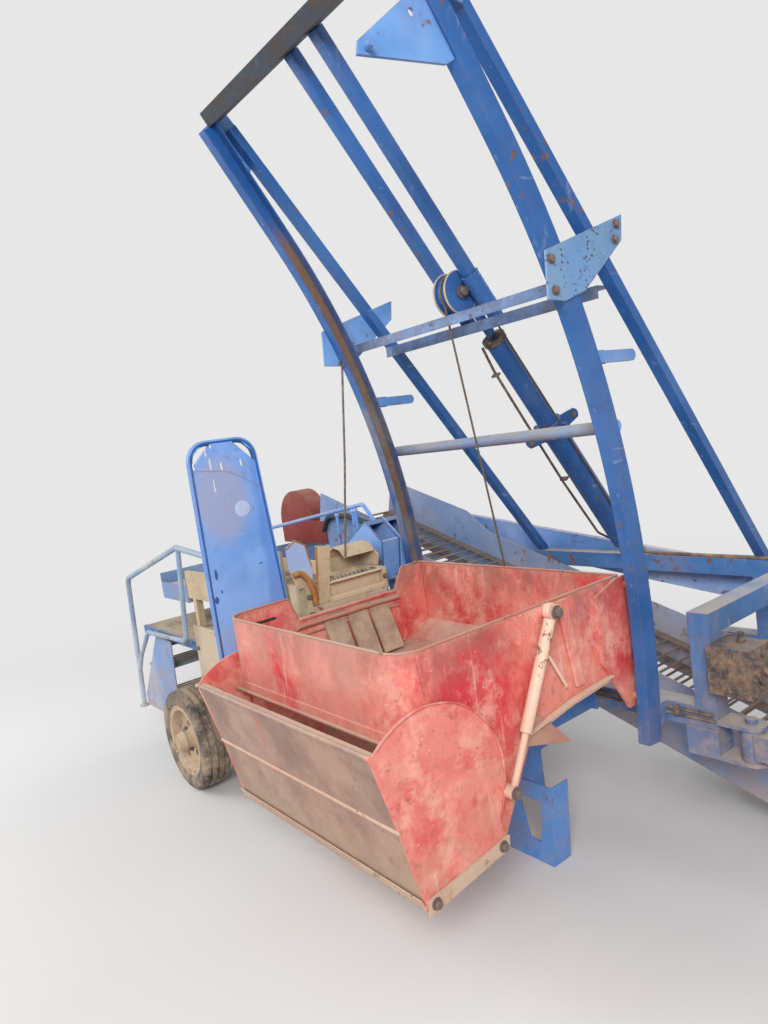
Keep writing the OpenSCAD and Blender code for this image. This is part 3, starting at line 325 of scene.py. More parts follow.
def clouded_red(f, seed):
    """Crimson and bleached pink in soft clouds, with small dark spots, pale flecks and scratches."""
    cloud = f.noise(2.6, 10, 0.70, f.mapped(move=(seed, 2 * seed, seed + 5)), 0.25)
    base = f.blend(f.step(cloud, 0.36, 0.60), (0.57, 0.032, 0.045), (0.70, 0.215, 0.170))
    base = f.blend(f.step(f.noise(6.5, 9, 0.72, f.mapped(move=(seed, 1, 7)), 0.2), 0.46, 0.66, 0.0, 0.8), base,
                   (0.78, 0.38, 0.30))
    base = f.blend(f.step(f.noise(34.0, 8, 0.75), 0.54, 0.66, 0.0, 0.55), base, (0.30, 0.075, 0.065))
    drips = f.noise(26.0, 6, 0.65, f.mapped((1.0, 1.0, 0.09), move=(seed, 0, 0)))
    base = f.blend(f.step(drips, 0.60, 0.68, 0.0, 0.45), base, (0.84, 0.52, 0.43))
    flecks = f.times(f.step(f.cells(44.0), 0.12, 0.06), f.step(f.noise(12.0, 6, 0.7), 0.50, 0.60))
    return f.blend(flecks, base, (0.80, 0.66, 0.58))


def flap_marks(f, base):
    """Mauve-brown mud over the lip plate, worn to red in streaks, and clouded red on the cheeks."""
    x, z = f.axis("X"), f.axis("Z")
    sheet = within(f, x, MAST_X, 0.556, 0.004)
    streak = f.noise(5.5, 9, 0.72, f.mapped((1.0, 1.0, 0.35), (0.0, 0.0, 0.2)), 0.5)
    earth = f.blend(f.step(f.noise(4.0, 9, 0.7), 0.35, 0.65), (0.235, 0.140, 0.115), (0.40, 0.250, 0.195))
    earth = f.blend(f.step(f.noise(40.0, 7, 0.7), 0.55, 0.68, 0.0, 0.6), earth, (0.13, 0.085, 0.07))
    earth = f.blend(f.step(streak, 0.56, 0.68, 0.0, 0.6), earth, (0.50, 0.120, 0.100))
    low = f.step(f.total(z, f.step(streak, 0.3, 0.7, -0.05, 0.05)), 0.50, 0.36)
    earth = f.blend(f.times(low, 0.6), earth, (0.37, 0.275, 0.205))
    return f.blend(sheet, clouded_red(f, 3.0), earth)


def track_marks(f, base):
    """Bare rusty track that the rollers have worn inside the curved rails."""
    x, y, z = f.axis("X"), f.axis("Y"), f.axis("Z")
    out = f.math("SQRT", f.total(f.math("POWER", f.total(y, -ARC_Y), 2.0), f.math("POWER", f.total(z, -ARC_Z),
            2.0)))
    on = within(f, out, ARC_R, 0.0325, 0.002)
    inner = within(f, x, MAST_X, 0.645, 0.001)
    below = f.step(z, 2.72, 2.55)
    uneven = f.step(f.noise(9.0, 9, 0.7, f.mapped((1.0, 0.5, 0.5))), 0.28, 0.48, 0.35, 1.0)
    track = f.times(f.times(on, inner), f.times(below, uneven))
    rust = f.blend(f.noise(28.0, 8, 0.7), (0.13, 0.085, 0.06), (0.27, 0.15, 0.085))
    base = f.blend(track, base, rust)
    grimy = f.times(f.step(z, 2.3, 1.7), f.step(f.noise(6.0, 9, 0.72), 0.40, 0.62, 0.0, 0.6))
    grimy = f.times(grimy, f.step(x, 0.0, -0.3, 0.15, 1.0))
    return f.blend(grimy, base, (0.24, 0.22, 0.20))


def plate_marks(f, base):
    """Dulled cross bars and lower tube; bleached paint with small rust spots on the mast's big gussets."""
    x, y, z = f.axis("X"), f.axis("Y"), f.axis("Z")
    span = within(f, x, MAST_X, 0.600, 0.010)
    dull = f.step(f.noise(10.0, 9, 0.74), 0.32, 0.60, 0.35, 0.95)
    cross = f.times(span, f.times(within(f, z, 2.06, 0.12, 0.02), dull))
    base = f.blend(cross, base, (0.085, 0.115, 0.195))
    tube = f.times(span, f.times(within(f, z, 1.62, 0.05, 0.01), dull))
    base = f.blend(tube, base, (0.215, 0.225, 0.25))
    on = f.times(within(f, x, 0.511, 0.014, 0.002), within(f, z, 2.19, 0.18, 0.02))
    base = f.blend(f.times(on, f.step(f.noise(4.0, 6, 0.6), 0.35, 0.6, 0.4, 0.9)), base, (0.165, 0.275, 0.41))
    spots = f.step(f.cells(62.0), 0.36, 0.27)
    some = f.step(f.noise(9.0, 6, 0.65, f.mapped(move=(2, 1, 1))), 0.47, 0.56)
    base = f.blend(f.times(on, f.times(spots, some)), base, (0.055, 0.035, 0.035))
    low = f.times(on, within(f, f.total(z, f.times(y, -0.62)), 2.155, 0.012, 0.004))
    return f.blend(f.times(low, 0.75), base, (0.42, 0.40, 0.38))


def bunker_marks(f, base):
    """Clouded red, maroon grime along the rim and brown earth in the bottom."""
    x, z = f.axis("X"), f.axis("Z")
    base = clouded_red(f, 1.0)
    grime = f.noise(6.0, 9, 0.74, f.mapped((1.0, 1.0, 0.55)), 0.5)
    upper = f.times(f.step(z, 0.86, 1.05), f.step(grime, 0.40, 0.60))
    base = f.blend(f.times(upper, 0.65), base, (0.27, 0.100, 0.085))
    dull = f.times(f.step(f.axis("Y"), -1.040, -1.052), f.step(f.noise(3.4, 9, 0.7, f.mapped((1.0, 1.0, 0.7))),
                                                               0.36, 0.58))
    base = f.blend(f.times(dull, 0.55), base, (0.52, 0.245, 0.200))
    rim = f.times(f.step(z, 1.055, 1.078), f.step(f.noise(20.0, 7, 0.7), 0.3, 0.6))
    base = f.blend(f.times(rim, 0.6), base, (0.40, 0.25, 0.18))
    floor = f.times(within(f, x, MAST_X, 0.553, 0.002), f.times(f.step(z, 0.80, 0.62),
                                                                f.step(f.facing_up(), 0.2, 0.7)))
    return f.blend(f.times(floor, 0.7), base, (0.38, 0.22, 0.16))


def rusty_steel(name, tone, dirt, metal=0.6, rough=0.5, scale=22.0):
    """Bare or rusted steel with earth in its corners."""
    f = Finish(name)
    patch = f.noise(scale, 9, 0.7)
    base = f.blend(f.step(patch, 0.35, 0.65), tone, mix3(tone, dirt, 0.7))
    base = f.blend(f.step(f.noise(scale * 2.7, 8, 0.75), 0.52, 0.64), base, dirt)
    f.put(f.skin.inputs["Base Color"], base)
    f.put(f.skin.inputs["Metallic"], f.step(patch, 0.3, 0.7, metal, 0.1))
    f.put(f.skin.inputs["Roughness"], f.step(patch, 0.3, 0.7, rough, 0.88))
    f.bump(f.noise(scale * 3, 8, 0.7), 0.0015, 0.7, 0.001)
    return f.mat


def tyre_rubber(name, tone, dirt):
    f = Finish(name)
    film = f.noise(9.0, 9, 0.7)
    base = f.blend(f.step(film, 0.30, 0.66), tone, mix3(dirt, tone, 0.25))
    base = f.blend(f.step(f.noise(60.0, 5, 0.7), 0.55, 0.72, 0.0, 0.7), base, dirt)
    f.put(f.skin.inputs["Base Color"], base)
    f.put(f.skin.inputs["Roughness"], f.step(film, 0.2, 0.8, 0.62, 0.95))
    f.bump(f.math("ADD", f.noise(90.0, 5, 0.6), f.times(f.noise(12.0, 8), 0.6)), 0.0012, 0.6, 0.0015)
    return f.mat


def dusty_planks(name, wood, dirt):
    f = Finish(name)
    grain = f.noise(9.0, 9, 0.7, f.mapped((0.6, 9.0, 9.0)), 0.5)
    base = f.blend(f.step(grain, 0.3, 0.7), mix3(wood, (0.06, 0.04, 0.03), 0.4), wood)
    base = f.blend(f.step(f.noise(4.0, 9, 0.68), 0.30, 0.55), base, dirt)
    base = f.blend(f.step(f.noise(55.0, 7, 0.7), 0.56, 0.68, 0.0, 0.8), base, mix3(dirt, (0.08, 0.05, 0.03),
            0.5))
    f.put(f.skin.inputs["Base Color"], base)
    f.skin.inputs["Roughness"].default_value = 0.93
    f.bump(f.math("ADD", f.times(grain, 0.5), f.noise(38.0, 9, 0.72)), 0.004, 0.8, 0.002)
    return f.mat


# How worn each paint is: rusty edges, mud, dust, rust chips, roughness, mud near the ground and scratches
WEAR = ("wear", "mud", "dust", "rust", "gloss", "low_mud", "scratches")
PAINT_WEAR = {
    "mast_blue": (0.6, 0.15, 0.25, 0.22, 0.34, 0.3, 0.6),
    "rail_track": (0.7, 0.15, 0.25, 0.25, 0.34, 0.3, 0.6),
    "foot_blue": (0.5, 0.2, 0.3, 0.1, 0.4, 0.25, 0.4),
    "board_blue": (0.45, 0.15, 0.5, 0.05, 0.42, 0.3, 0.6),
    "frame_blue": (0.7, 0.5, 0.7, 0.55, 0.45, 0.8, 0.5),
    "panel_blue": (0.6, 0.35, 0.6, 0.30, 0.42, 0.6, 0.6),
    "bunker_red": (0.8, 0.50, 0.75, 0.16, 0.42, 0.75, 0.7),
    "flap_red": (0.8, 0.45, 0.6, 0.16, 0.45, 0.5, 0.7),
    "strut_pink": (0.8, 0.5, 0.5, 0.40, 0.45, 0.5, 0.5),
    "cream_plate": (0.8, 0.6, 0.8, 0.45, 0.55, 0.6, 0.4),
    "worn_rail": (0.9, 0.3, 0.5, 0.60, 0.45, 0.5, 0.8),
    "hood_red": (0.8, 0.15, 0.2, 0.50, 0.55, 0.3, 0.4),
    "rim_paint": (0.9, 0.7, 0.6, 0.55, 0.6, 0.8, 0.3),
    "bunker_edge": (0.7, 0.5, 0.3, 0.35, 0.55, 0.6, 0.6),
    "worn_edge": (0.8, 0.4, 0.3, 0.3, 0.55, 0.6, 0.5),
    "panel_pale": (0.5, 0.2, 0.5, 0.15, 0.42, 0.4, 0.6),
    "deep_blue": (0.4, 0.2, 0.3, 0.2, 0.35, 0.4, 0.3),
    "dusty_blue": (0.8, 0.6, 0.95, 0.35, 0.55, 0.6, 0.6),
    "bar_blue": (0.7, 0.35, 0.6, 0.2, 0.42, 0.6, 0.5),
}
MARKS = {"rail_track": track_marks, "board_blue": board_marks, "bunker_red": bunker_marks,
         "flap_red": flap_marks, "bar_blue": plate_marks}


def paint_shop():
    """Every finish by name, made once."""
    c = bpy.context.scene.harvester_colours
    t = SimpleNamespace(**{k: tuple(getattr(c, k)) for k in c.__annotations__})
    pale = (0.62, 0.66, 0.74)
    paints = {
        "mast_blue": (t.mast, mix3(t.mast, t.panel, 0.22)),
        "rail_track": (t.mast, mix3(t.mast, t.panel, 0.22)),
        "foot_blue": ((0.035, 0.165, 0.47), (0.09, 0.25, 0.58)),
        "board_blue": (t.panel, mix3(t.panel, (0.24, 0.40, 0.78), 0.6)),
        "frame_blue": (t.frame, mix3(t.frame, t.panel, 0.5)),
        "panel_blue": (t.panel, mix3(t.panel, pale, 0.45)),
        "bunker_red": (t.bunker, t.bunker_fade),
        "flap_red": (t.bunker, t.bunker_fade),
        "strut_pink": (t.strut, mix3(t.strut, t.mud, 0.4)),
        "cream_plate": (t.cream, mix3(t.cream, pale, 0.25)),
        "worn_rail": (t.rail, mix3(t.rail, pale, 0.5)),
        "hood_red": (t.hood, mix3(t.hood, t.mud, 0.2)),
        "rim_paint": (mix3(t.cream, t.mud, 0.4), t.cream),
        "bunker_edge": ((0.42, 0.150, 0.110), (0.42, 0.275, 0.200)),
        "worn_edge": ((0.50, 0.30, 0.225), (0.55, 0.42, 0.31)),
        "panel_pale": (mix3(t.panel, pale, 0.35), mix3(t.panel, pale, 0.65)),
        "deep_blue": (mix3(t.mast, t.panel, 0.15), t.mast),
        "dusty_blue": (mix3(t.panel, (0.20, 0.23, 0.28), 0.5), mix3(t.panel, t.dust, 0.55)),
        "bar_blue": (mix3(t.mast, t.panel, 0.55), mix3(t.panel, (0.26, 0.46, 0.70), 0.35)),
    }
    shop = {
        "rust_line": rusty_steel("rust_line", (0.36, 0.22, 0.15), (0.26, 0.20, 0.24), 0.0, 0.85, 40.0),
        "rope_wire": rusty_steel("rope_wire", (0.16, 0.13, 0.10), (0.09, 0.05, 0.03), 0.4, 0.6, 80.0),
        "dropping_white": tyre_rubber("dropping_white", (0.78, 0.76, 0.70), (0.60, 0.55, 0.46)),
        # Near-black finish for painted shade: it stands in for the dark inside of the slot in the bunker's rear
        # wall
        "dark_gap": tyre_rubber("dark_gap", (0.012, 0.012, 0.014), (0.05, 0.035, 0.03)),
        "dusty_cream": dusty_planks("dusty_cream", (0.50, 0.40, 0.24), mix3(t.mud, (0.62, 0.50, 0.33), 0.6)),
        "orange_rust": rusty_steel("orange_rust", (0.45, 0.20, 0.055), (0.26, 0.11, 0.045), 0.0, 0.9, 30.0),
        "spiral_rubber": tyre_rubber("spiral_rubber", (0.07, 0.055, 0.04), mix3(t.mud, t.dust, 0.6)),
        "rusty_beam": rusty_steel("rusty_beam", (0.016, 0.036, 0.062), (0.070, 0.048, 0.034), 0.2, 0.6, 14.0),
        "web_steel": rusty_steel("web_steel", t.steel, mix3(t.rust, t.mud, 0.5), 0.5, 0.45),
        "dark_iron": rusty_steel("dark_iron", (0.05, 0.055, 0.065), mix3(t.rust, t.mud, 0.6), 0.3, 0.5),
        "bolt_steel": rusty_steel("bolt_steel", (0.20, 0.19, 0.18), t.rust, 0.7, 0.42, 60.0),
        "tyre_rubber": tyre_rubber("tyre_rubber", t.rubber, mix3(t.mud, t.dust, 0.4)),
        "belt_rubber": tyre_rubber("belt_rubber", (0.05, 0.045, 0.04), t.mud),
        "slat_dirt": tyre_rubber("slat_dirt", (0.26, 0.18, 0.13), mix3(t.mud, (0.56, 0.43, 0.30), 0.7)),
        "deck_dirt": dusty_planks("deck_dirt", (0.22, 0.17, 0.11), mix3(t.mud, t.dust, 0.6)),
    }
    for name, (fresh, faded) in paints.items():
        shop[name] = old_paint(name, fresh, faded, MARKS.get(name), **dict(zip(WEAR, PAINT_WEAR[name])))
    return shop


paint = {}


def coat(piece, name):
    piece.data.materials.clear()
    piece.data.materials.append(paint[name])


# Mesh helpers

def deselect():
    if bpy.context.object and bpy.context.object.mode != "OBJECT":
        bpy.ops.object.mode_set(mode="OBJECT")
    bpy.ops.object.select_all(action="DESELECT")


def pick(piece):
    """Selects one object alone, for the operator that follows."""
    deselect()
    piece.select_set(True)
    bpy.context.view_layer.objects.active = piece


def settle(piece, name):
    """Applies the place, so that the object sits at the origin."""
    pick(piece)
    bpy.ops.object.transform_apply(location=True, rotation=True, scale=True)
    piece.name = name
    piece.data.name = name
    return piece


def rounded(piece, width, segments=2):
    m = piece.modifiers.new("soft edges", "BEVEL")
    m.width = width
    m.segments = segments
    m.limit_method = "ANGLE"
    apply(piece, m)


def apply(piece, modifier):
    pick(piece)
    bpy.ops.object.modifier_apply(modifier=modifier.name)


def smooth(piece, degrees=35):
    pick(piece)
    bpy.ops.object.shade_smooth_by_angle(angle=math.radians(degrees))


def bar(name, lo, hi, width=0.0):
    """A straight bar or plate between two corners, with its edges taken off."""
    deselect()
    lo, hi = Vector(lo), Vector(hi)
    bpy.ops.mesh.primitive_cube_add(size=1.0, location=(lo + hi) / 2)
    piece = bpy.context.object
    piece.scale = hi - lo
    settle(piece, name)
    if width:
        rounded(piece, width)
    return piece


def round_bar(name, p, q, r, sides=24, lip=0.0):
    """A round bar from one point to another, with its rims taken off."""
    deselect()
    p, q = Vector(p), Vector(q)
    d = q - p
    bpy.ops.mesh.primitive_cylinder_add(vertices=sides, radius=r, depth=d.length, location=(p + q) / 2)
    piece = bpy.context.object
    piece.rotation_mode = "QUATERNION"
    piece.rotation_quaternion = d.to_track_quat("Z", "Y")
    settle(piece, name)
    if lip:
        rounded(piece, lip)
    smooth(piece)
    return piece


def bent_bar(name, points, r, sides=3, bend=0.0, closed=False):
    """A round rod along a row of points, with its corners rounded."""
    deselect()
    pts = [Vector(p) for p in points]
    if bend:
        pts = fillet(pts, bend, closed)
    bpy.ops.curve.primitive_nurbs_path_add()
    piece = bpy.context.object
    piece.data.splines.clear()
    line = piece.data.splines.new("POLY")
    line.points.add(len(pts) - 1)
    for k, p in enumerate(pts):
        line.points[k].co = (*p, 1.0)
    line.use_cyclic_u = closed
    piece.data.dimensions = "3D"
    piece.data.bevel_depth = r
    piece.data.bevel_resolution = sides
    piece.data.use_fill_caps = True
    bpy.ops.object.convert(target="MESH")
    piece = bpy.context.object
    settle(piece, name)
    smooth(piece, 50)
    return piece


def fillet(pts, bend, closed=False, steps=7):
    out = []
    n = len(pts)
    for k, p in enumerate(pts):
        if not closed and k in (0, n - 1):
            out.append(p)
            continue
        a, b = pts[k - 1], pts[(k + 1) % n]
        u, v = (a - p).normalized(), (b - p).normalized()
        half = u.angle(v) / 2
        if half > math.radians(88):
            out.append(p)
            continue
        cut = min(bend / math.tan(half), (a - p).length * 0.49, (b - p).length * 0.49)
        s, t = p + u * cut, p + v * cut
        for i in range(steps + 1):
            w = i / steps
            out.append((1 - w) ** 2 * s + 2 * w * (1 - w) * p + w * w * t)
    return out


def join(name, pieces):
    deselect()
    for p in pieces:
        p.select_set(True)
    bpy.context.view_layer.objects.active = pieces[0]
    if len(pieces) > 1:
        bpy.ops.object.join()
    pieces[0].name = name
    pieces[0].data.name = name
    return pieces[0]


def copy_at(piece, matrix):
    new = piece.copy()
    new.data = piece.data.copy()
    bpy.context.scene.collection.objects.link(new)
    new.data.transform(matrix)
    return new


def hex_bolt(size):
    """A hexagon head on a washer, standing on the XY plane."""
    deselect()
    bpy.ops.mesh.primitive_cylinder_add(vertices=6, radius=size / 2 / math.cos(math.pi / 6), depth=size * 0.55,
                                        location=(0, 0, size * 0.34))
    head = bpy.context.object
    settle(head, "bolt_head")
    rounded(head, size * 0.06, 1)
    deselect()
    bpy.ops.mesh.primitive_cylinder_add(vertices=16, radius=size * 0.78, depth=size * 0.12,
                                        location=(0, 0, size * 0.03))
    washer = settle(bpy.context.object, "bolt_washer")
    return join("bolt_pattern", [head, washer])


def bolts_on(name, places, size, body, material="bolt_steel"):
    """Bolts at rows of (point, direction), all in one piece."""
    pattern = hex_bolt(size)
    made = []
    for k, (p, d) in enumerate(places):
        turn = Vector(d).to_track_quat("Z", "Y").to_matrix().to_4x4()
        spin = Matrix.Rotation(0.7 * k, 4, "Z")
        made.append(copy_at(pattern, Matrix.Translation(Vector(p)) @ turn @ spin))
    bpy.data.objects.remove(pattern)
    piece = join(name, made)
    dress(piece, material, body)
    return piece


def dress(piece, material, body):
    coat(piece, material)
    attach(piece, body)
    return piece


class Shop:
    bl_options = {"REGISTER", "UNDO"}


BACKDROP = (0.80, 0.80, 0.80)
# The camera that was fitted to the picture: place, then yaw, pitch and roll in degrees
CAMERA_PLACE = (2.05, -2.279, 1.7)
CAMERA_TURN = (52.66658, -5.75876, -8.20262)
FOCAL_PIXELS, PHOTO_HEIGHT, SENSOR = 738.5106, 1024.0, 36.0


class HARVESTER_OT_stage(Shop, bpy.types.Operator):
    """Makes the floor, the lights and the camera"""
    bl_idname = "harvester.stage"
    bl_label = "Stage and camera"

    def execute(self, context):
        scene = context.scene
        tone = tuple(scene.harvester_colours.floor)
        deselect()
        bpy.ops.mesh.primitive_plane_add(size=60.0, location=(0, 0, -0.002))
        floor = settle(context.object, "studio_floor")
        floor.data.materials.append(self.floor_finish(tone))
        world = bpy.data.worlds.new("studio")
        scene.world = world
        world.use_nodes = True
        nodes, links = world.node_tree.nodes, world.node_tree.links
        nodes.clear()
        out = nodes.new("ShaderNodeOutputWorld")
        mix = nodes.new("ShaderNodeMixShader")
        rays = nodes.new("ShaderNodeLightPath")
        seen = nodes.new("ShaderNodeMath")
        seen.operation = "MAXIMUM"
        links.new(rays.outputs["Is Camera Ray"], seen.inputs[0])
        links.new(rays.outputs["Is Glossy Ray"], seen.inputs[1])
        glow = nodes.new("ShaderNodeBackground")
        fill(glow, Color=(0.95, 0.96, 1.0, 1.0), Strength=0.55)
        back = nodes.new("ShaderNodeBackground")
        fill(back, Color=(*BACKDROP, 1.0), Strength=1.0)
        links.new(seen.outputs[0], mix.inputs[0])
        links.new(glow.outputs[0], mix.inputs[1])
        links.new(back.outputs[0], mix.inputs[2])
        links.new(mix.outputs[0], out.inputs[0])
        for name, place, aim, size, power in (
            ("key", (4.4, -4.6, 4.4), (-0.4, -0.3, 1.0), 2.6, 430.0),
            ("fill", (-5.0, -4.5, 3.6), (-0.6, -0.2, 1.0), 4.0, 230.0),
            ("rim", (-1.0, 5.5, 5.0), (0.0, 0.0, 1.2), 4.0, 200.0),
        ):
            deselect()
            bpy.ops.object.light_add(type="AREA", location=place)
            lamp = context.object
            lamp.name = name
            lamp.data.size = size
            lamp.data.energy = power
            lamp.rotation_mode = "QUATERNION"
            lamp.rotation_quaternion = (Vector(aim) - Vector(place)).to_track_quat("-Z", "Y")
        self.camera(context)
        scene.view_settings.view_transform = "Standard"
        return {"FINISHED"}

    def floor_finish(self, tone):
        """A pale floor that keeps shadows near the machine and turns into the backdrop far from it."""
        f = Finish("studio_floor")
        f.put(f.skin.inputs["Base Color"], f.blend(f.noise(0.8, 4), tone, mix3(tone, (0.7, 0.7, 0.7), 0.3)))
        f.skin.inputs["Roughness"].default_value = 0.8
        x, y = f.axis("X"), f.axis("Y")
        away = f.math("SQRT", f.total(f.math("POWER", x, 2.0), f.math("POWER", y, 2.0)))
        rays = f.nodes.new("ShaderNodeLightPath")
        seen = f.math("MAXIMUM", rays.outputs["Is Camera Ray"], rays.outputs["Is Glossy Ray"])
        seen = f.math("MAXIMUM", seen, rays.outputs["Is Transmission Ray"])
        glow = f.nodes.new("ShaderNodeEmission")
        fill(glow, Color=(*BACKDROP, 1.0))
        mix = f.nodes.new("ShaderNodeMixShader")
        f.put(mix.inputs[0], f.times(seen, f.step(away, 2.4, 7.0)))
        f.link(f.skin.outputs[0], mix.inputs[1])
        f.link(glow.outputs[0], mix.inputs[2])
        f.link(mix.outputs[0], f.nodes["Material Output"].inputs["Surface"])
        return f.mat

    def camera(self, context):
        """Stands where the photograph was taken, turned and tilted as the hand-held camera was."""
        yaw, pitch, roll = (math.radians(v) for v in CAMERA_TURN)
        level = Vector((math.cos(yaw), math.sin(yaw), 0.0))
        ahead = Vector((-math.sin(yaw), math.cos(yaw), 0.0))
        up = Vector((0.0, 0.0, 1.0))
        look = ahead * math.cos(pitch) + up * math.sin(pitch)
        tall = -ahead * math.sin(pitch) + up * math.cos(pitch)
        right = level * math.cos(roll) + tall * math.sin(roll)
        top = -level * math.sin(roll) + tall * math.cos(roll)
        deselect()
        bpy.ops.object.camera_add(location=CAMERA_PLACE)
        cam = context.object
        cam.name = "photo_camera"
        turn = Matrix((right, top, -look)).transposed()
        cam.rotation_mode = "QUATERNION"
        cam.rotation_quaternion = turn.to_quaternion()
        cam.data.sensor_width = SENSOR
        cam.data.lens = FOCAL_PIXELS / PHOTO_HEIGHT * SENSOR
        cam.data.clip_start = 0.02
        context.scene.camera = cam


NODE_FINISH = {
    "frame_blue": ("main_frame", "axle", "drawbar", "parking_stand", "share_frame", "ridge_roller",
                   "platform_bearers"),
    "foot_blue": ("front_foot", "foot_bracket"),
    "rail_track": ("mast_rails",),
    "board_blue": ("guard_board",),
    "bar_blue": ("mast_bars",),
    "mast_blue": ("mast_legs", "guide_tubes", "lift_barrel", "lift_block"),
    "rusty_beam": ("mast_top",),
    "dark_iron": ("gearbox",),
    "dusty_blue": ("web_walls", "cross_conveyor", "steps"),
    "panel_blue": ("drive_guard", "clod_bins", "guard_rail"),
    "dusty_cream": ("table_frame",),
    "worn_rail": ("handrail",),
    "web_steel": ("main_web", "shares", "disc_coulters"),
    "hood_red": ("haulm_hood",),
    "deck_dirt": ("platform",),
    "cream_plate": ("wheel_plate", "chute_plates", "spiral_roller"),
    "belt_rubber": ("picking_belt",),
    "rim_paint": ("wheel_right_rim", "wheel_left_rim"),
    "tyre_rubber": ("wheel_right_tyre", "wheel_left_tyre"),
    "bunker_red": ("bunker_shell", "bunker_carriage"),
    "flap_red": ("flap",),
    "slat_dirt": ("bunker_slats",),
    "strut_pink": ("flap_barrel", "flap_rod"),
}


class HARVESTER_OT_paint(Shop, bpy.types.Operator):
    """Gives each part of the frame its finish"""
    bl_idname = "harvester.paint"
    bl_label = "Paint the frame"

    def execute(self, context):
        paint.update(paint_shop())
        for name, nodes in NODE_FINISH.items():
            for node in nodes:
                coat(frame["nodes"][node], name)
        return {"FINISHED"}


# Shapes drawn flat and given a thickness

def place(across, level, point):
    a, b = point
    return {"x": (level, a, b), "y": (a, level, b), "z": (a, b, level)}[across]


def slab(name, corners, push):
    """A flat sheet between its corners, drawn out along a line to its thickness."""
    deselect()
    bpy.ops.mesh.primitive_circle_add(vertices=len(corners), radius=1.0, fill_type="NGON")
    piece = bpy.context.object
    for v, corner in zip(piece.data.vertices, corners):
        v.co = corner
    bpy.ops.object.mode_set(mode="EDIT")
    bpy.ops.mesh.select_all(action="SELECT")
    bpy.ops.mesh.extrude_region_move(TRANSFORM_OT_translate={"value": push})
    bpy.ops.mesh.select_all(action="SELECT")
    bpy.ops.mesh.normals_make_consistent(inside=False)
    bpy.ops.object.mode_set(mode="OBJECT")
    return settle(piece, name)


def plate(name, outline, across, lo, hi, width=0.0012):
    """A flat plate from an outline, pushed from one level to another along an axis."""
    piece = slab(name, [place(across, lo, p) for p in outline], place(across, hi - lo, (0.0, 0.0)))
    if width:
        rounded(piece, width)
    return piece


def spun(name, profile, centre, steps=96, angle=30):
    """A turned shape about a line along Y; the profile is a closed row of (along, radius)."""
    deselect()
    bpy.ops.mesh.primitive_circle_add(vertices=len(profile), radius=1.0, fill_type="NOTHING")
    piece = bpy.context.object
    x, y, z = centre
    for v, (along, radius) in zip(piece.data.vertices, profile):
        v.co = (x, y + along, z + radius)
    bpy.ops.object.mode_set(mode="EDIT")
    bpy.ops.mesh.select_all(action="SELECT")
    bpy.ops.mesh.spin(steps=steps, angle=2 * math.pi, center=centre, axis=(0, 1, 0))
    bpy.ops.mesh.select_all(action="SELECT")
    bpy.ops.mesh.remove_doubles(threshold=0.0001)
    bpy.ops.mesh.delete_loose(use_verts=True, use_edges=True, use_faces=False)
    bpy.ops.mesh.select_all(action="SELECT")
    bpy.ops.mesh.normals_make_consistent(inside=False)
    bpy.ops.object.mode_set(mode="OBJECT")
    settle(piece, name)
    smooth(piece, angle)
    return piece


def spun_x(name, profile, centre, steps=32):
    """A turned shape about a line along X."""
    piece = spun(name, profile, (0.0, 0.0, 0.0), steps)
    piece.data.transform(Matrix.Translation(Vector(centre)) @ Matrix.Rotation(math.radians(-90), 4, "Z"))
    return piece


def spun_z(name, profile, centre, steps=32):
    """A turned shape about an upright line."""
    piece = spun(name, profile, (0.0, 0.0, 0.0), steps)
    piece.data.transform(Matrix.Translation(Vector(centre)) @ Matrix.Rotation(math.radians(90), 4, "X"))
    return piece


def touch(node, start, way, reach=0.4):
    """Where a straight line from a place first meets a part of the frame."""
    hit, point, _, _ = frame["nodes"][node].ray_cast(Vector(start), Vector(way).normalized(), distance=reach)
    if not hit:
        raise RuntimeError(f"nothing of {node} lies beyond {tuple(start)}")
    return point


def ring_of(centre, radius, start, stop, count):
    """Points on an arc, with its angles in degrees."""
    a, b = centre
    turns = [math.radians(start + (stop - start) * k / count) for k in range(count + 1)]
    return [(a + radius * math.cos(t), b + radius * math.sin(t)) for t in turns]


def bead(name, points, r=0.003, bend=0.0):
    """A thin weld bead or rolled edge, a little uneven as a hand-laid one is."""
    piece = bent_bar(name, points, r, 2, bend)
    rng = random.Random(len(name) * 7 + len(points))
    for v in piece.data.vertices:
        v.co += Vector((rng.uniform(-1, 1), rng.uniform(-1, 1), rng.uniform(-1, 1))) * r * 0.12
    return piece


def blob(name, centre, size, detail=2):
    """A flattened lump, such as a dent's rim or a dropping."""
    deselect()
    bpy.ops.mesh.primitive_ico_sphere_add(subdivisions=detail, radius=1.0, location=centre)
    piece = bpy.context.object
    piece.scale = size
    settle(piece, name)
    smooth(piece, 60)
    return piece


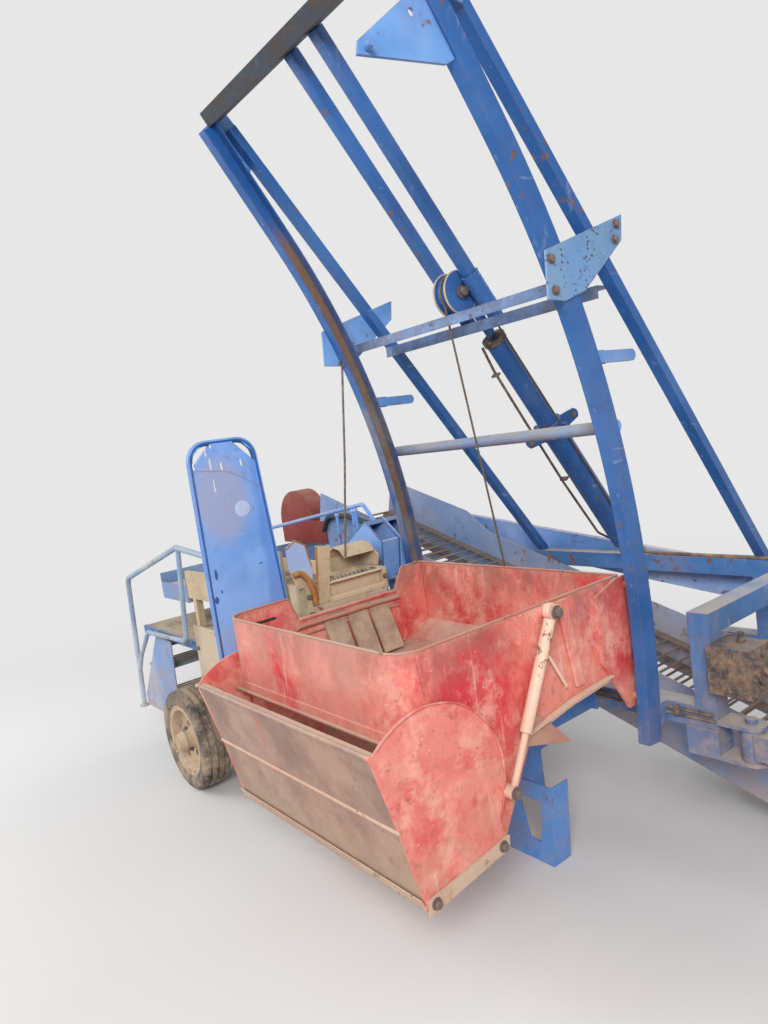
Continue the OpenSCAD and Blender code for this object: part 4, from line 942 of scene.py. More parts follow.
class HARVESTER_OT_tyres(Shop, bpy.types.Operator):
    """Makes the ribbed implement tyres with notched shoulders"""
    bl_idname = "harvester.tyres"
    bl_label = "Tyres"

    def profile(self, half, r, seat):
        one_side = [
            (0.0, seat), (0.80, seat), (0.86, seat + 0.004), (0.885, seat + 0.012), (0.94, seat + 0.020),
            (0.965, seat + 0.024), (0.945, seat + 0.027), (0.965, seat + 0.030), (0.992, r - 0.047),
            (1.0, r - 0.036), (0.985, r - 0.027), (0.955, r - 0.020), (0.958, r - 0.015), (0.915, r - 0.012),
            (0.86, r - 0.006), (0.76, r - 0.0035), (0.60, r - 0.0022), (0.575, r - 0.0035), (0.56, r - 0.0125),
            (0.44, r - 0.0125), (0.425, r - 0.003), (0.40, r - 0.0015), (0.10, r - 0.0003), (0.08, r - 0.002),
            (0.065, r - 0.011), (0.0, r - 0.011),
        ]
        right = [(a * half, b) for a, b in one_side]
        left = [(-a * half, b) for a, b in reversed(one_side[1:-1])]
        return right + left

    def execute(self, context):
        lugs = context.scene.harvester_sizes.lugs
        for side in ("right", "left"):
            node = f"wheel_{side}_tyre"
            lo, hi = (Vector(v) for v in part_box(node))
            centre = (lo + hi) / 2
            half, r = (hi.y - lo.y) / 2, (hi.z - lo.z) / 2
            piece = spun(f"tyre_{side}", self.profile(half, r, 0.178), tuple(centre), lugs * 4)
            for v in piece.data.vertices:
                d = v.co - centre
                radius = math.hypot(d.x, d.z)
                turn = (math.atan2(d.z, d.x) / (2 * math.pi) * lugs) % 1.0
                shoulder = abs(d.y) > 0.57 * half and radius > r - 0.013
                if shoulder and turn < 0.3:
                    fall = 0.0065 / radius
                    v.co = Vector((v.co.x - d.x * fall, v.co.y, v.co.z - d.z * fall))
                if abs(abs(d.y) - 0.5 * half) < 0.09 * half and radius > r - 0.013:
                    v.co.y += 0.0016 * math.sin(turn * 2 * math.pi)
            dress(piece, "tyre_rubber", f"wheel_{side}")
            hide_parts(node)
        return {"FINISHED"}


class HARVESTER_OT_wheel_trim(Shop, bpy.types.Operator):
    """Adds wheel nuts, hub caps and valves"""
    bl_idname = "harvester.wheel_trim"
    bl_label = "Wheel nuts and hubs"

    def execute(self, context):
        for side, out in (("right", -1), ("left", 1)):
            lo, hi = (Vector(v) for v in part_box(f"wheel_{side}_rim"))
            c = (lo + hi) / 2
            tyre_lo, tyre_hi = (Vector(v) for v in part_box(f"wheel_{side}_tyre"))
            mid = (tyre_lo.y + tyre_hi.y) / 2
            nuts = []
            for k in range(5):
                a = math.radians(72 * k + 20)
                beyond = (c.x + 0.085 * math.cos(a), mid + out * 0.2, c.z + 0.085 * math.sin(a))
                nuts.append((touch(f"wheel_{side}_rim", beyond, (0, -out, 0)), (0, out, 0)))
            bolts_on(f"wheel_nuts_{side}", nuts, 0.026, f"wheel_{side}")
            cap = spun(f"hub_cap_{side}", [(out * a, r) for a, r in (
                (0.060, 0.0), (0.060, 0.046), (0.066, 0.051), (0.074, 0.051), (0.080, 0.046), (0.094, 0.043),
                (0.101, 0.036), (0.1045, 0.020), (0.1048, 0.0))], (c.x, mid, c.z), 48)
            dress(cap, "rim_paint", f"wheel_{side}")
            flange = spun(f"rim_bead_{side}", [(out * a, r) for a, r in (
                (0.0565, 0.176), (0.062, 0.174), (0.066, 0.178), (0.0665, 0.187), (0.063, 0.1895),
                (0.060, 0.186),
                (0.059, 0.180))], (c.x, mid, c.z), 96)
            dress(flange, "rim_paint", f"wheel_{side}")
            valve = round_bar(f"valve_{side}", (c.x + 0.12, mid + out * 0.012, c.z + 0.075),
                              (c.x + 0.125, mid + out * 0.046, c.z + 0.078), 0.005, 12, 0.001)
            dress(valve, "belt_rubber", f"wheel_{side}")
        return {"FINISHED"}


class HARVESTER_OT_bunker_trim(Shop, bpy.types.Operator):
    """Adds the bunker's rolled rim, ribs, angle bar and welds"""
    bl_idname = "harvester.bunker_trim"
    bl_label = "Bunker rim and ribs"

    def execute(self, context):
        r = context.scene.harvester_sizes.rolled_edge
        self.rim(r)
        self.front_wall()
        self.inside()
        self.welds()
        return {"FINISHED"}

    def rim(self, r):
        x0, x1 = BUNKER_REAR + 0.0025, BUNKER_FRONT - 0.0025
        y0, z = BUNKER_OUT + 0.0025, BUNKER_RIM - 0.002
        back = BUNKER_BACK - 0.0025
        c = BUNKER_CORNER
        points = [(x0, back, z)] + [(x0, a, b - 0.002) for a, b in reversed(NOTCH)]
        points += [(x, y, z) for x, y in ring_of((x0 + c, y0 + c), c, 180, 270, 8)]
        points += [(x, y, z) for x, y in ring_of((x1 - c, y0 + c), c, 270, 360, 8)]
        points += [(x1, back, z), (x0, back, z)]
        dress(bent_bar("bunker_rim", points, r * 0.7, 3, 0.004), "bunker_edge", "bunker")
        # Lip over the mouth of the trough
        lip = [(x0 + 0.004, y0 - 0.003, 0.782), (x1 - c, y0 - 0.003, 0.782)]
        dress(bent_bar("mouth_lip", lip, 0.008, 3), "bunker_edge", "bunker")
        strip = bar("mouth_strip", (x0 + c, y0 - 0.0055, 0.784), (x1 - c, y0 - 0.0015, 0.822), 0.001)
        dress(strip, "bunker_red", "bunker")

    def front_wall(self):
        x = BUNKER_FRONT
        rib = plate("front_rib", [(-0.372, 1.069), (-0.314, 1.069), (-0.268, 0.747), (-0.316, 0.747)], "x", x,
                    x + 0.013, 0.005)
        dress(rib, "bunker_red", "bunker")
        tie = bent_bar("front_tie", [(x, -0.453, 0.911), (x + 0.016, -0.446, 0.897), (x + 0.016, -0.378, 0.776),
                                     (x, -0.371, 0.762)], 0.006, 3, 0.01)
        dress(tie, "strut_pink", "bunker")
        low = [(-0.616, 0.650), (-0.332, 0.690), (-0.120, 0.704)]
        top = [(-0.120, 0.732), (-0.336, 0.719), (-0.616, 0.680)]
        dress(plate("front_angle", low + top, "x", x, x + 0.004), "strut_pink", "bunker")
        ledge = [(-0.120, 0.732), (-0.336, 0.719), (-0.616, 0.680), (-0.616, 0.675), (-0.336, 0.714),
                 (-0.120, 0.727)]
        dress(plate("front_angle_ledge", ledge, "x", x, x + 0.026), "strut_pink", "bunker")
        ear = plate("front_gusset", [(-0.562, 0.745), (-0.488, 0.694), (-0.380, 0.575), (-0.600, 0.640)], "x",
                    x + 0.004, x + 0.009, 0.0012)
        dress(ear, "bunker_edge", "bunker")
        foot = plate("front_fold", [(-1.0, 1.066), (-0.985, 1.066), (-0.955, 0.80), (-0.968, 0.80)], "x",
                     x - 0.0005, x + 0.0035, 0.0016)
        dress(foot, "bunker_red", "bunker")

    def inside(self):
        x = BUNKER_REAR + 0.005
        for name, z, size in (("notch_roll", 0.944, 0.010), ("notch_fold", 0.905, 0.005)):
            points = [(x, -0.742, z - 0.01), (x + size, -0.73, z), (x + size, -0.185, z), (x, -0.172, z - 0.01)]
            dress(bent_bar(name, points, size, 3, 0.01), "bunker_edge", "bunker")
        # The slot is a thin near-black plate on the wall: painted shade in place of a real hole
        slot = plate("wall_slot", [(-0.990, 1.012), (-0.975, 1.018), (-0.838, 1.018), (-0.825, 1.012),
                                   (-0.838, 1.006), (-0.975, 1.006)], "x", x - 0.0005, x + 0.0012, 0.0004)
        dress(slot, "dark_gap", "bunker")
        boss = spun_x("wall_boss", ((0.0, 0.0), (0.0, 0.019), (0.006, 0.019), (0.0085, 0.016), (0.0085, 0.009),
                                    (0.004, 0.008), (0.004, 0.0)), (x, -0.800, 0.930))
        dress(boss, "bunker_edge", "bunker")

    def welds(self):
        x0, x1 = BUNKER_REAR + 0.006, BUNKER_FRONT - 0.006
        upright = [(-0.012, BUNKER_RIM - 0.01), (-0.012, 0.80)]
        seam = [(-0.03, 0.777), (-0.126, 0.730), (-0.318, 0.716), (-0.575, 0.645), (-0.735, 0.385)]
        rows = [[(x, y, z) for y, z in line] for line in (upright, seam) for x in (x1, x0)]
        made = [bead(f"bunker_weld_{k}", row, 0.004) for k, row in enumerate(rows)]
        dress(join("bunker_welds", made), "bunker_red", "bunker")


class HARVESTER_OT_flap_trim(Shop, bpy.types.Operator):
    """Adds the flap's ridges, edge bars, bolts and the strut's nuts"""
    bl_idname = "harvester.flap_trim"
    bl_label = "Flap trim"

    def execute(self, context):
        x0, x1 = BUNKER_REAR - 0.012, BUNKER_FRONT + 0.012
        y, z = FLAP_FOLD
        ridge = bent_bar("flap_ridge", [(x0 + 0.002, y - 0.003, z), (x1 - 0.002, y - 0.003, z)], 0.008, 3)
        dress(ridge, "worn_edge", "flap_body")
        y, z = FLAP_LIP
        lip = bar("flap_lip_flat", (x0 + 0.006, y + 0.004, z - 0.004), (x1 - 0.006, y + 0.030, z + 0.001),
                  0.001)
        dress(lip, "worn_edge", "flap_body")
        y, z = HINGE
        flat = plate("flap_foot_flat", [(y - 0.012, z - 0.010), (y - 0.028, z + 0.030), (y - 0.024, z + 0.032),
                                        (y - 0.008, z - 0.006)], "x", x0 + 0.004, x1 - 0.004)
        dress(flat, "worn_edge", "flap_body")
        for side, xa, xb in (("front", x1, x1 + 0.008), ("rear", x0 - 0.004, x0)):
            edge = plate(f"cheek_bar_{side}", [(-1.094, 0.312), (-0.742, 0.360), (-0.736, 0.404),
                                               (-1.086, 0.362)], "x", xa, xb)
            dress(edge, "worn_edge", "flap_body")
            arc_row = [(xa + 0.002 if side == "front" else xb - 0.002, a, b) for a,
                       b in ring_of(CHEEK, CHEEK_R - 0.002, 128, -30, 30)]
            dress(bead(f"cheek_edge_{side}", arc_row, 0.0035), "bunker_red", "flap_body")
        bolts_on("cheek_bolts", [((x1 + 0.008, -1.062, 0.342), (1, 0, 0)), ((x1 + 0.008, -0.770, 0.381),
                (1, 0, 0))], 0.024, "flap_body")
        nut_x = BUNKER_FRONT + 0.032 + 0.022
        bolts_on("strut_nut_top", [((nut_x, -0.428, 1.051), (1, 0, 0))], 0.030, "bunker")
        bolts_on("strut_nut_low", [((BUNKER_FRONT + 0.032 + 0.014, -0.711, 0.538), (1, 0, 0))], 0.028,
                 "strut_rod")
        return {"FINISHED"}


class HARVESTER_OT_board_trim(Shop, bpy.types.Operator):
    """Frames the guard board with its round bar, and adds its crease, dent and droppings"""
    bl_idname = "harvester.board_trim"
    bl_label = "Guard board"

    def execute(self, context):
        y0, y1, z0, top, r = -1.0395, -0.7205, 0.702, 1.7895, 0.09
        inset = 0.011
        rim = [(-0.672, z0), (y1 - inset + 0.001, top - r)]
        rim += ring_of((y1 - r, top - r), r - inset, 8, 90, 9)
        rim += ring_of((y0 + r, top - r), r - inset, 90, 176, 9)
        rim += [(y0 + inset, top - r), (y0 + inset, z0)]
        frame_bar = bent_bar("board_frame", [(BOARD_MID, a, b) for a, b in rim], 0.0122, 4)
        dress(frame_bar, "deep_blue", "chassis")
        crease = [(-1.028, 1.668), (-0.976, 1.664), (-0.885, 1.653), (-0.831, 1.629), (-0.760, 1.586),
                  (-0.718, 1.556)]
        dress(bead("board_crease", [(BOARD_FACE, a, b) for a, b in crease], 0.0013), "rust_line", "chassis")
        second = [(-0.870, 1.735), (-0.857, 1.728), (-0.801, 1.686), (-0.745, 1.632)]
        dress(bead("board_crease_short", [(BOARD_FACE, a, b) for a, b in second], 0.0007), "rust_line",
              "chassis")
        dent = blob("board_dent", (BOARD_FACE, -0.829, 1.481), (0.0028, 0.038, 0.036), 4)
        dress(dent, "panel_pale", "chassis")
        chips = []
        for k, (y, z, w, h) in enumerate(((-1.014, 1.12, 0.010, 0.016), (-0.999, 1.227, 0.007, 0.024),
                                          (-0.783, 1.232, 0.012, 0.003), (-0.985, 1.15, 0.004, 0.009))):
            chips.append(blob(f"board_chip_{k}", (BOARD_FACE, y, z), (0.0012, w, h), 3))
        dress(join("board_chips", chips), "deep_blue", "chassis")
        drips = []
        for k, (y, z, h) in enumerate(((-0.958, 1.741, 0.012), (-0.944, 1.690, 0.022), (-0.895, 1.676, 0.015),
                                       (-0.941, 1.600, 0.026), (-1.020, 1.690, 0.012), (-0.802, 1.681, 0.012),
                                       (-0.932, 1.765, 0.006))):
            drips.append(blob(f"drip_{k}", (BOARD_FACE, y, z), (0.0014, 0.0022 + 0.0010 * (k % 3), h * 1.15),
                              3))
            drips.append(blob(f"drip_end_{k}", (BOARD_FACE, y + 0.002, z - h * 0.8), (0.0017, 0.0036, 0.009),
                              2))
        dress(join("board_droppings", drips), "dropping_white", "chassis")
        return {"FINISHED"}


class HARVESTER_OT_mast_trim(Shop, bpy.types.Operator):
    """Adds oil lines, clips, a gland, gusset bolts and welds to the mast"""
    bl_idname = "harvester.mast_trim"
    bl_label = "Mast trim"

    def execute(self, context):
        line = context.scene.harvester_sizes.line
        # Oil line beside the barrel, with two clips
        run = [on_lift(-0.058, -0.20, -0.03), on_lift(-0.066, -0.32, -0.04), on_lift(-0.072, -0.60, -0.045),
               on_lift(-0.078, -1.00, -0.05), on_lift(-0.070, -1.35, -0.05),
               LIFT_FOOT + Vector((-0.09, 0.02, 0.03))]
        dress(bent_bar("oil_line", run, line, 3, 0.06), "dark_iron", "chassis")
        for k, up in enumerate((-0.34, -0.98)):
            clip = plate(f"oil_clip_{k}", [(-0.020, -0.012), (0.020, -0.012), (0.020, 0.012), (-0.020, 0.012)],
                         "z", -0.004, 0.004)
            turn = Matrix.Translation(on_lift(-0.068, up, -0.042)) @ Matrix.Rotation(LIFT_SLOPE, 4, "X")
            clip.data.transform(turn)
            dress(clip, "dark_iron", "chassis")
        self.gland()
        self.gussets()
        self.welds()
        return {"FINISHED"}

    def gland(self):
        """Screwed head at the top of the cylinder's barrel."""
        profile = [(0.0, 0.022), (0.0, 0.050), (0.004, 0.053), (0.028, 0.053), (0.032, 0.048), (0.036, 0.036),
                   (0.040, 0.026), (0.040, 0.022)]
        gland = spun("barrel_gland", profile, (0, 0, 0), 48)
        turn = Matrix.Translation(on_lift(0, -0.205)) @ Matrix.Rotation(LIFT_SLOPE, 4,
                "X") @ Matrix.Rotation(math.radians(90), 4, "X")
        gland.data.transform(turn)
        dress(gland, "dark_iron", "chassis")

    def gussets(self):
        places = []
        for x, out in ((RAIL_REAR - RAIL_W / 2 - 0.0083, -1), (RAIL_FRONT + RAIL_W / 2 + 0.0083, 1)):
            for y, z in ((-0.300, 2.185), (-0.295, 2.085), (0.075, 2.315), (0.060, 2.262)):
                places.append(((x, y, z), (out, 0, 0)))
            for y, z in ((-0.735, 3.030), (-0.685, 2.955), (-0.600, 3.040)):
                places.append(((x, y, z), (out, 0, 0)))
        bolts_on("gusset_bolts", places, 0.022, "chassis")

    def welds(self):
        made = []
        for x in (RAIL_REAR, RAIL_FRONT):
            for k, (y, z) in enumerate(((-0.045, 1.845), (-0.045, 1.888))):
                made.append(bead(f"lug_weld_{k}", [(x - 0.009, y - 0.03, z), (x - 0.009, y + 0.03, z)], 0.003))
        dress(join("mast_welds", made), "mast_blue", "chassis")


def wire_rope(name, p, q, r):
    """Wire rope with its strands twisted round it."""
    d = (q - p).normalized()
    side = d.orthogonal().normalized()
    turns = int((q - p).length / 0.045)
    strands = []
    for s in range(3):
        row = []
        for k in range(turns * 4 + 1):
            a = k * math.pi / 2 + s * 2 * math.pi / 3
            row.append(p + (q - p) * k / (turns * 4) + Matrix.Rotation(a, 3, d) @ side * r * 0.5)
        strands.append(bent_bar(f"{name}_{s}", row, r * 0.55, 1))
    return join(name, strands)


class HARVESTER_OT_lift_trim(Shop, bpy.types.Operator):
    """Adds the sheave's pin and the two parts of the rope's stay"""
    bl_idname = "harvester.lift_trim"
    bl_label = "Sheave pin and rope stay"

    def execute(self, context):
        rope = context.scene.harvester_sizes.rope
        places = [(tuple(SHEAVE + Vector((s * 0.042, 0, 0))), (s, 0, 0)) for s in (-1, 1)]
        bolts_on("sheave_pin", places, 0.036, "lift_carriage")
        stay_top, stay_mid, stay_end = on_lift(0.062, -0.02), on_lift(0.062, -0.18), on_lift(0.062, -1.42)
        dress(wire_rope("rope_stay", stay_mid, stay_end, rope), "rope_wire", "chassis")
        dress(wire_rope("rope_stay_moving", stay_top, on_lift(0.062, -1.00), rope * 0.96), "rope_wire",
              "lift_carriage")
        return {"FINISHED"}


class HARVESTER_OT_picking_trim(Shop, bpy.types.Operator):
    """Adds the spiral roller's turns, its cover, the plates beside it and the bins' edges"""
    bl_idname = "harvester.picking_trim"
    bl_label = "Picking table trim"

    def execute(self, context):
        self.roller()
        self.plates()
        self.bins()
        self.rail()
        return {"FINISHED"}

    def roller(self):
        """Closely wound rubber spiral on its core, over the frame's plain discs."""
        x, z, y0, y1 = -0.805, 1.060, TABLE_RIGHT + 0.028, TABLE_LEFT - 0.030
        core = round_bar("roller_core", (x, y0, z), (x, y1, z), 0.0245, 32, 0.002)
        dress(core, "spiral_rubber", "chassis")
        turns, per = 15, 18
        rows = []
        for k in range(turns * per + 1):
            a = 2 * math.pi * k / per
            y = y0 + 0.022 + (y1 - y0 - 0.044) * k / (turns * per)
            rows.append((x + 0.0305 * math.cos(a), y, z + 0.0305 * math.sin(a)))
        spiral = bent_bar("roller_spiral", rows, 0.0058, 2)
        dress(spiral, "spiral_rubber", "chassis")
        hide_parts("spiral_roller")
        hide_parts("spiral_roller")
        ends = [round_bar(f"roller_collar_{k}", (x, y, z), (x, y + 0.014, z), 0.031, 24, 0.002) for k,
                y in enumerate((y0, y1 - 0.014))]
        dress(join("roller_collars", ends), "dark_iron", "chassis")
        # Sheet cover over the roller's far end
        y, top = TABLE_LEFT - 0.005, 1.205
        shell = [(-0.960, 1.085), (-0.975, 1.150), (-0.955, 1.185), (-0.915, top), (-0.870, 1.196),
                 (-0.835, 1.165), (-0.829, 1.162),
                 (-0.866, 1.202), (-0.915, top + 0.008), (-0.961, 1.192), (-0.983, 1.152), (-0.968, 1.085)]
        cover = plate("roller_cover", shell, "y", y - 0.165, y + 0.02, 0.0012)
        dress(cover, "dusty_cream", "chassis")
        foot = plate("cover_foot", [(-0.968, 1.089), (-0.820, 1.089), (-0.800, 1.140), (-0.829, 1.166),
                                    (-0.915, top), (-0.975, 1.155)], "y", y + 0.014, y + 0.019, 0.0012)
        dress(foot, "dusty_cream", "chassis")

    def plates(self):
        x = -0.760
        link = [(-0.697, 1.175), (-0.699, 1.282), (-0.648, 1.309), (-0.598, 1.277), (-0.580, 1.168),
                (-0.584, 1.120), (-0.640, 1.088)]
        blue = plate("link_plate", link, "x", x - 0.006, x, 0.0015)
        dress(blue, "panel_pale", "chassis")
        edge = bead("link_edge", [(x - 0.001, a, b) for a, b in ((-0.699, 1.275), (-0.648, 1.305),
                (-0.600, 1.275), (-0.583, 1.175))], 0.0042)
        dress(edge, "orange_rust", "chassis")
        cream = [(-0.552, 1.262), (-0.474, 1.250), (-0.500, 1.120), (-0.515, CHUTE_TOP), (-0.585, CHUTE_TOP),
                 (-0.570, 1.110), (-0.560, 1.180)]
        dress(plate("cream_upright", cream, "x", x + 0.004, x + 0.010, 0.0015), "dusty_cream", "chassis")
        dress(bead("upright_edge", [(x + 0.008, a, b) for a, b in ((-0.578, 1.02), (-0.566, 1.12),
                (-0.556, 1.20), (-0.550, 1.258))], 0.0045), "orange_rust", "chassis")
        # Curved guard under the link plate, wound like a hose
        for k, (start, reach) in enumerate(((0.0, 0.020), (0.012, 0.016), (0.024, 0.012))):
            row = [(x + 0.016 - start, -0.690 + start, 1.158), (x + 0.020 - start, -0.655 + start, 1.166),
                   (x + 0.022 - start, -0.620 + start, 1.120), (x + 0.022 - start, -0.602 + start * 0.5, 1.050),
                   (x + 0.018 - start, -0.598, CHUTE_TOP + 0.006)]
            turn = bent_bar(f"guard_turn_{k}", row, reach * 0.62, 3, 0.03)
            dress(turn, "orange_rust" if k == 0 else "dusty_cream", "chassis")
        sheet = plate("guard_sheet", [(-0.699, 1.178), (-0.672, 1.092), (-0.640, 1.0905), (-0.640, 1.0),
                                      (-0.592, 1.0), (-0.602, 1.070), (-0.640, 1.150)], "x", x + 0.001,
                                      x + 0.005, 0.001)
        dress(sheet, "dusty_cream", "chassis")
        # Folded apron in front of the roller, and the step below it
        x = -0.767
        fold = [(x, CHUTE_TOP), (x + 0.004, CHUTE_TOP), (x + 0.004, 1.074), (x + 0.030, 1.080),
                (x + 0.031, 1.084), (x, 1.086)]
        dress(plate("roller_apron", fold, "y", -0.506, -0.214, 0.001), "dusty_cream", "chassis")
        step = [(x + 0.006, CHUTE_TOP), (x + 0.038, CHUTE_TOP), (x + 0.038, 1.016), (x + 0.032, 1.021),
                (x + 0.010, 1.024), (x + 0.006, 1.020)]
        dress(plate("roller_step", step, "y", -0.530, -0.214, 0.0015), "dusty_cream", "chassis")
        bolts_on("table_bolts", [((TABLE_FRONT + 0.0005, y, z), (1, 0, 0)) for y in (-0.6275,
                -0.1975) for z in (0.965, 1.045)], 0.017, "chassis")

    def bins(self):
        """Rolled edges and hoods on the two clod bins."""
        for k, y in enumerate((-0.060, 0.060)):
            for side, at in (("a", y - 0.0525), ("b", y + 0.0525)):
                row = [(-1.110, at, 1.002), (-1.124, at, 1.190), (-0.960, at, 1.290), (-0.841, at, 1.190),
                       (-0.871, at, 1.002)]
                dress(bead(f"bin_edge_{k}{side}", row, 0.0042), "panel_blue" if k else "deep_blue", "chassis")
            lid = [(-1.124, 1.191), (-0.961, 1.2905), (-0.938, 1.272), (-0.940, 1.268), (-0.961, 1.284),
                   (-1.118, 1.187)]
            dress(plate(f"bin_lid_{k}", lid, "y", y - 0.0505, y + 0.0505, 0.001), "deep_blue", "chassis")
        arm = bent_bar("hood_arm", [(-2.035, 0.322, 1.150), (-1.95, 0.315, 1.245), (-1.62, 0.235, 1.262),
                                    (-1.30, 0.150, 1.235), (-1.118, 0.085, 1.178)], 0.017, 4, 0.12)
        dress(arm, "rusty_beam", "chassis")

    def rail(self):
        y = 0.085
        clamps = []
        for k, (x, z) in enumerate(((-1.500, 1.300), (-1.336, 1.322), (-1.308, 1.326))):
            clamps.append(round_bar(f"rail_clamp_{k}", (x, y, z - 0.014), (x, y, z + 0.002), 0.0125, 20, 0.002))
        dress(join("rail_collars", clamps), "panel_pale", "chassis")


class HARVESTER_OT_platform_trim(Shop, bpy.types.Operator):
    """Adds the deck's edge angle, the steps' grips, the wheel plate's bolts and the rail's clamps"""
    bl_idname = "harvester.platform_trim"
    bl_label = "Platform and steps trim"

    def execute(self, context):
        # Angle round the deck's outer edge and rear end
        y, z = -0.8005, 0.7602
        outline = [(y, z - 0.045), (y, z + 0.003), (y + 0.022, z + 0.003), (y + 0.022, z + 0.0005),
                   (y + 0.0035, z + 0.0005), (y + 0.0035, z - 0.045)]
        lip = plate("deck_edge", outline, "x", -2.478, -1.70, 0.0008)
        dress(lip, "frame_blue", "chassis")
        # Ribbed grip strips on the treads
        grips = []
        for k, (x, z) in enumerate(((-2.560, 0.310), (-2.420, 0.540))):
            for j in range(5):
                grips.append(bar(f"grip_{k}{j}", (x + 0.018 + j * 0.044, -0.818, z),
                                 (x + 0.030 + j * 0.044, -0.435, z + 0.004), 0.0012))
        dress(join("tread_grips", grips), "dark_iron", "chassis")
        bolts_on("wheel_plate_bolts", [((x, WHEEL_PLATE_FACE, z), (0, -1, 0)) for x in (-1.655, -1.31,
                -0.96) for z in (0.575, 0.735)], 0.016, "chassis")
        fold = bead("wheel_plate_edge", [(-1.684, -0.8005, 0.859), (-1.684, -0.8005, 0.522),
                                         (-0.932, -0.8005, 0.522)], 0.0032)
        dress(fold, "cream_plate", "chassis")
        dents = [blob(f"plate_dent_{k}", (x, WHEEL_PLATE_FACE, z), (0.05, 0.0022, 0.035), 3) for k,
                 (x, z) in enumerate(((-1.50, 0.66), (-1.18, 0.61), (-1.05, 0.78)))]
        dress(join("wheel_plate_dents", dents), "cream_plate", "chassis")
        # Clamps that hold the rail to the deck, and a flange at the board
        made = []
        for k, (x, z) in enumerate(((-1.760, 0.7745), (-2.255, 0.757))):
            made.append(round_bar(f"rail_clamp_{k}", (x - 0.016, HANDRAIL_Y, z), (x + 0.016, HANDRAIL_Y, z),
                                  0.0158, 24, 0.002))
        flange = round_bar("rail_flange", (-0.8712, HANDRAIL_Y, 1.2195), (-0.8662, HANDRAIL_Y, 1.219), 0.030,
                           28, 0.0012)
        made.append(flange)
        dress(join("rail_clamps", made), "worn_rail", "chassis")
        bolts_on("rail_bolts", [((-0.8716, HANDRAIL_Y + dy, 1.2195 + dz), (-1, 0, 0)) for dy,
                                dz in ((0.021, 0.0), (-0.021, 0.0))], 0.011, "chassis")
        foot = spun_z("rail_foot", ((0.0, 0.0), (0.0, 0.030), (0.005, 0.031), (0.008, 0.028), (0.010, 0.018),
                                    (0.014, 0.0165), (0.014, 0.0)), (-2.5843, HANDRAIL_Y, 0.2395))
        dress(foot, "worn_rail", "chassis")
        return {"FINISHED"}


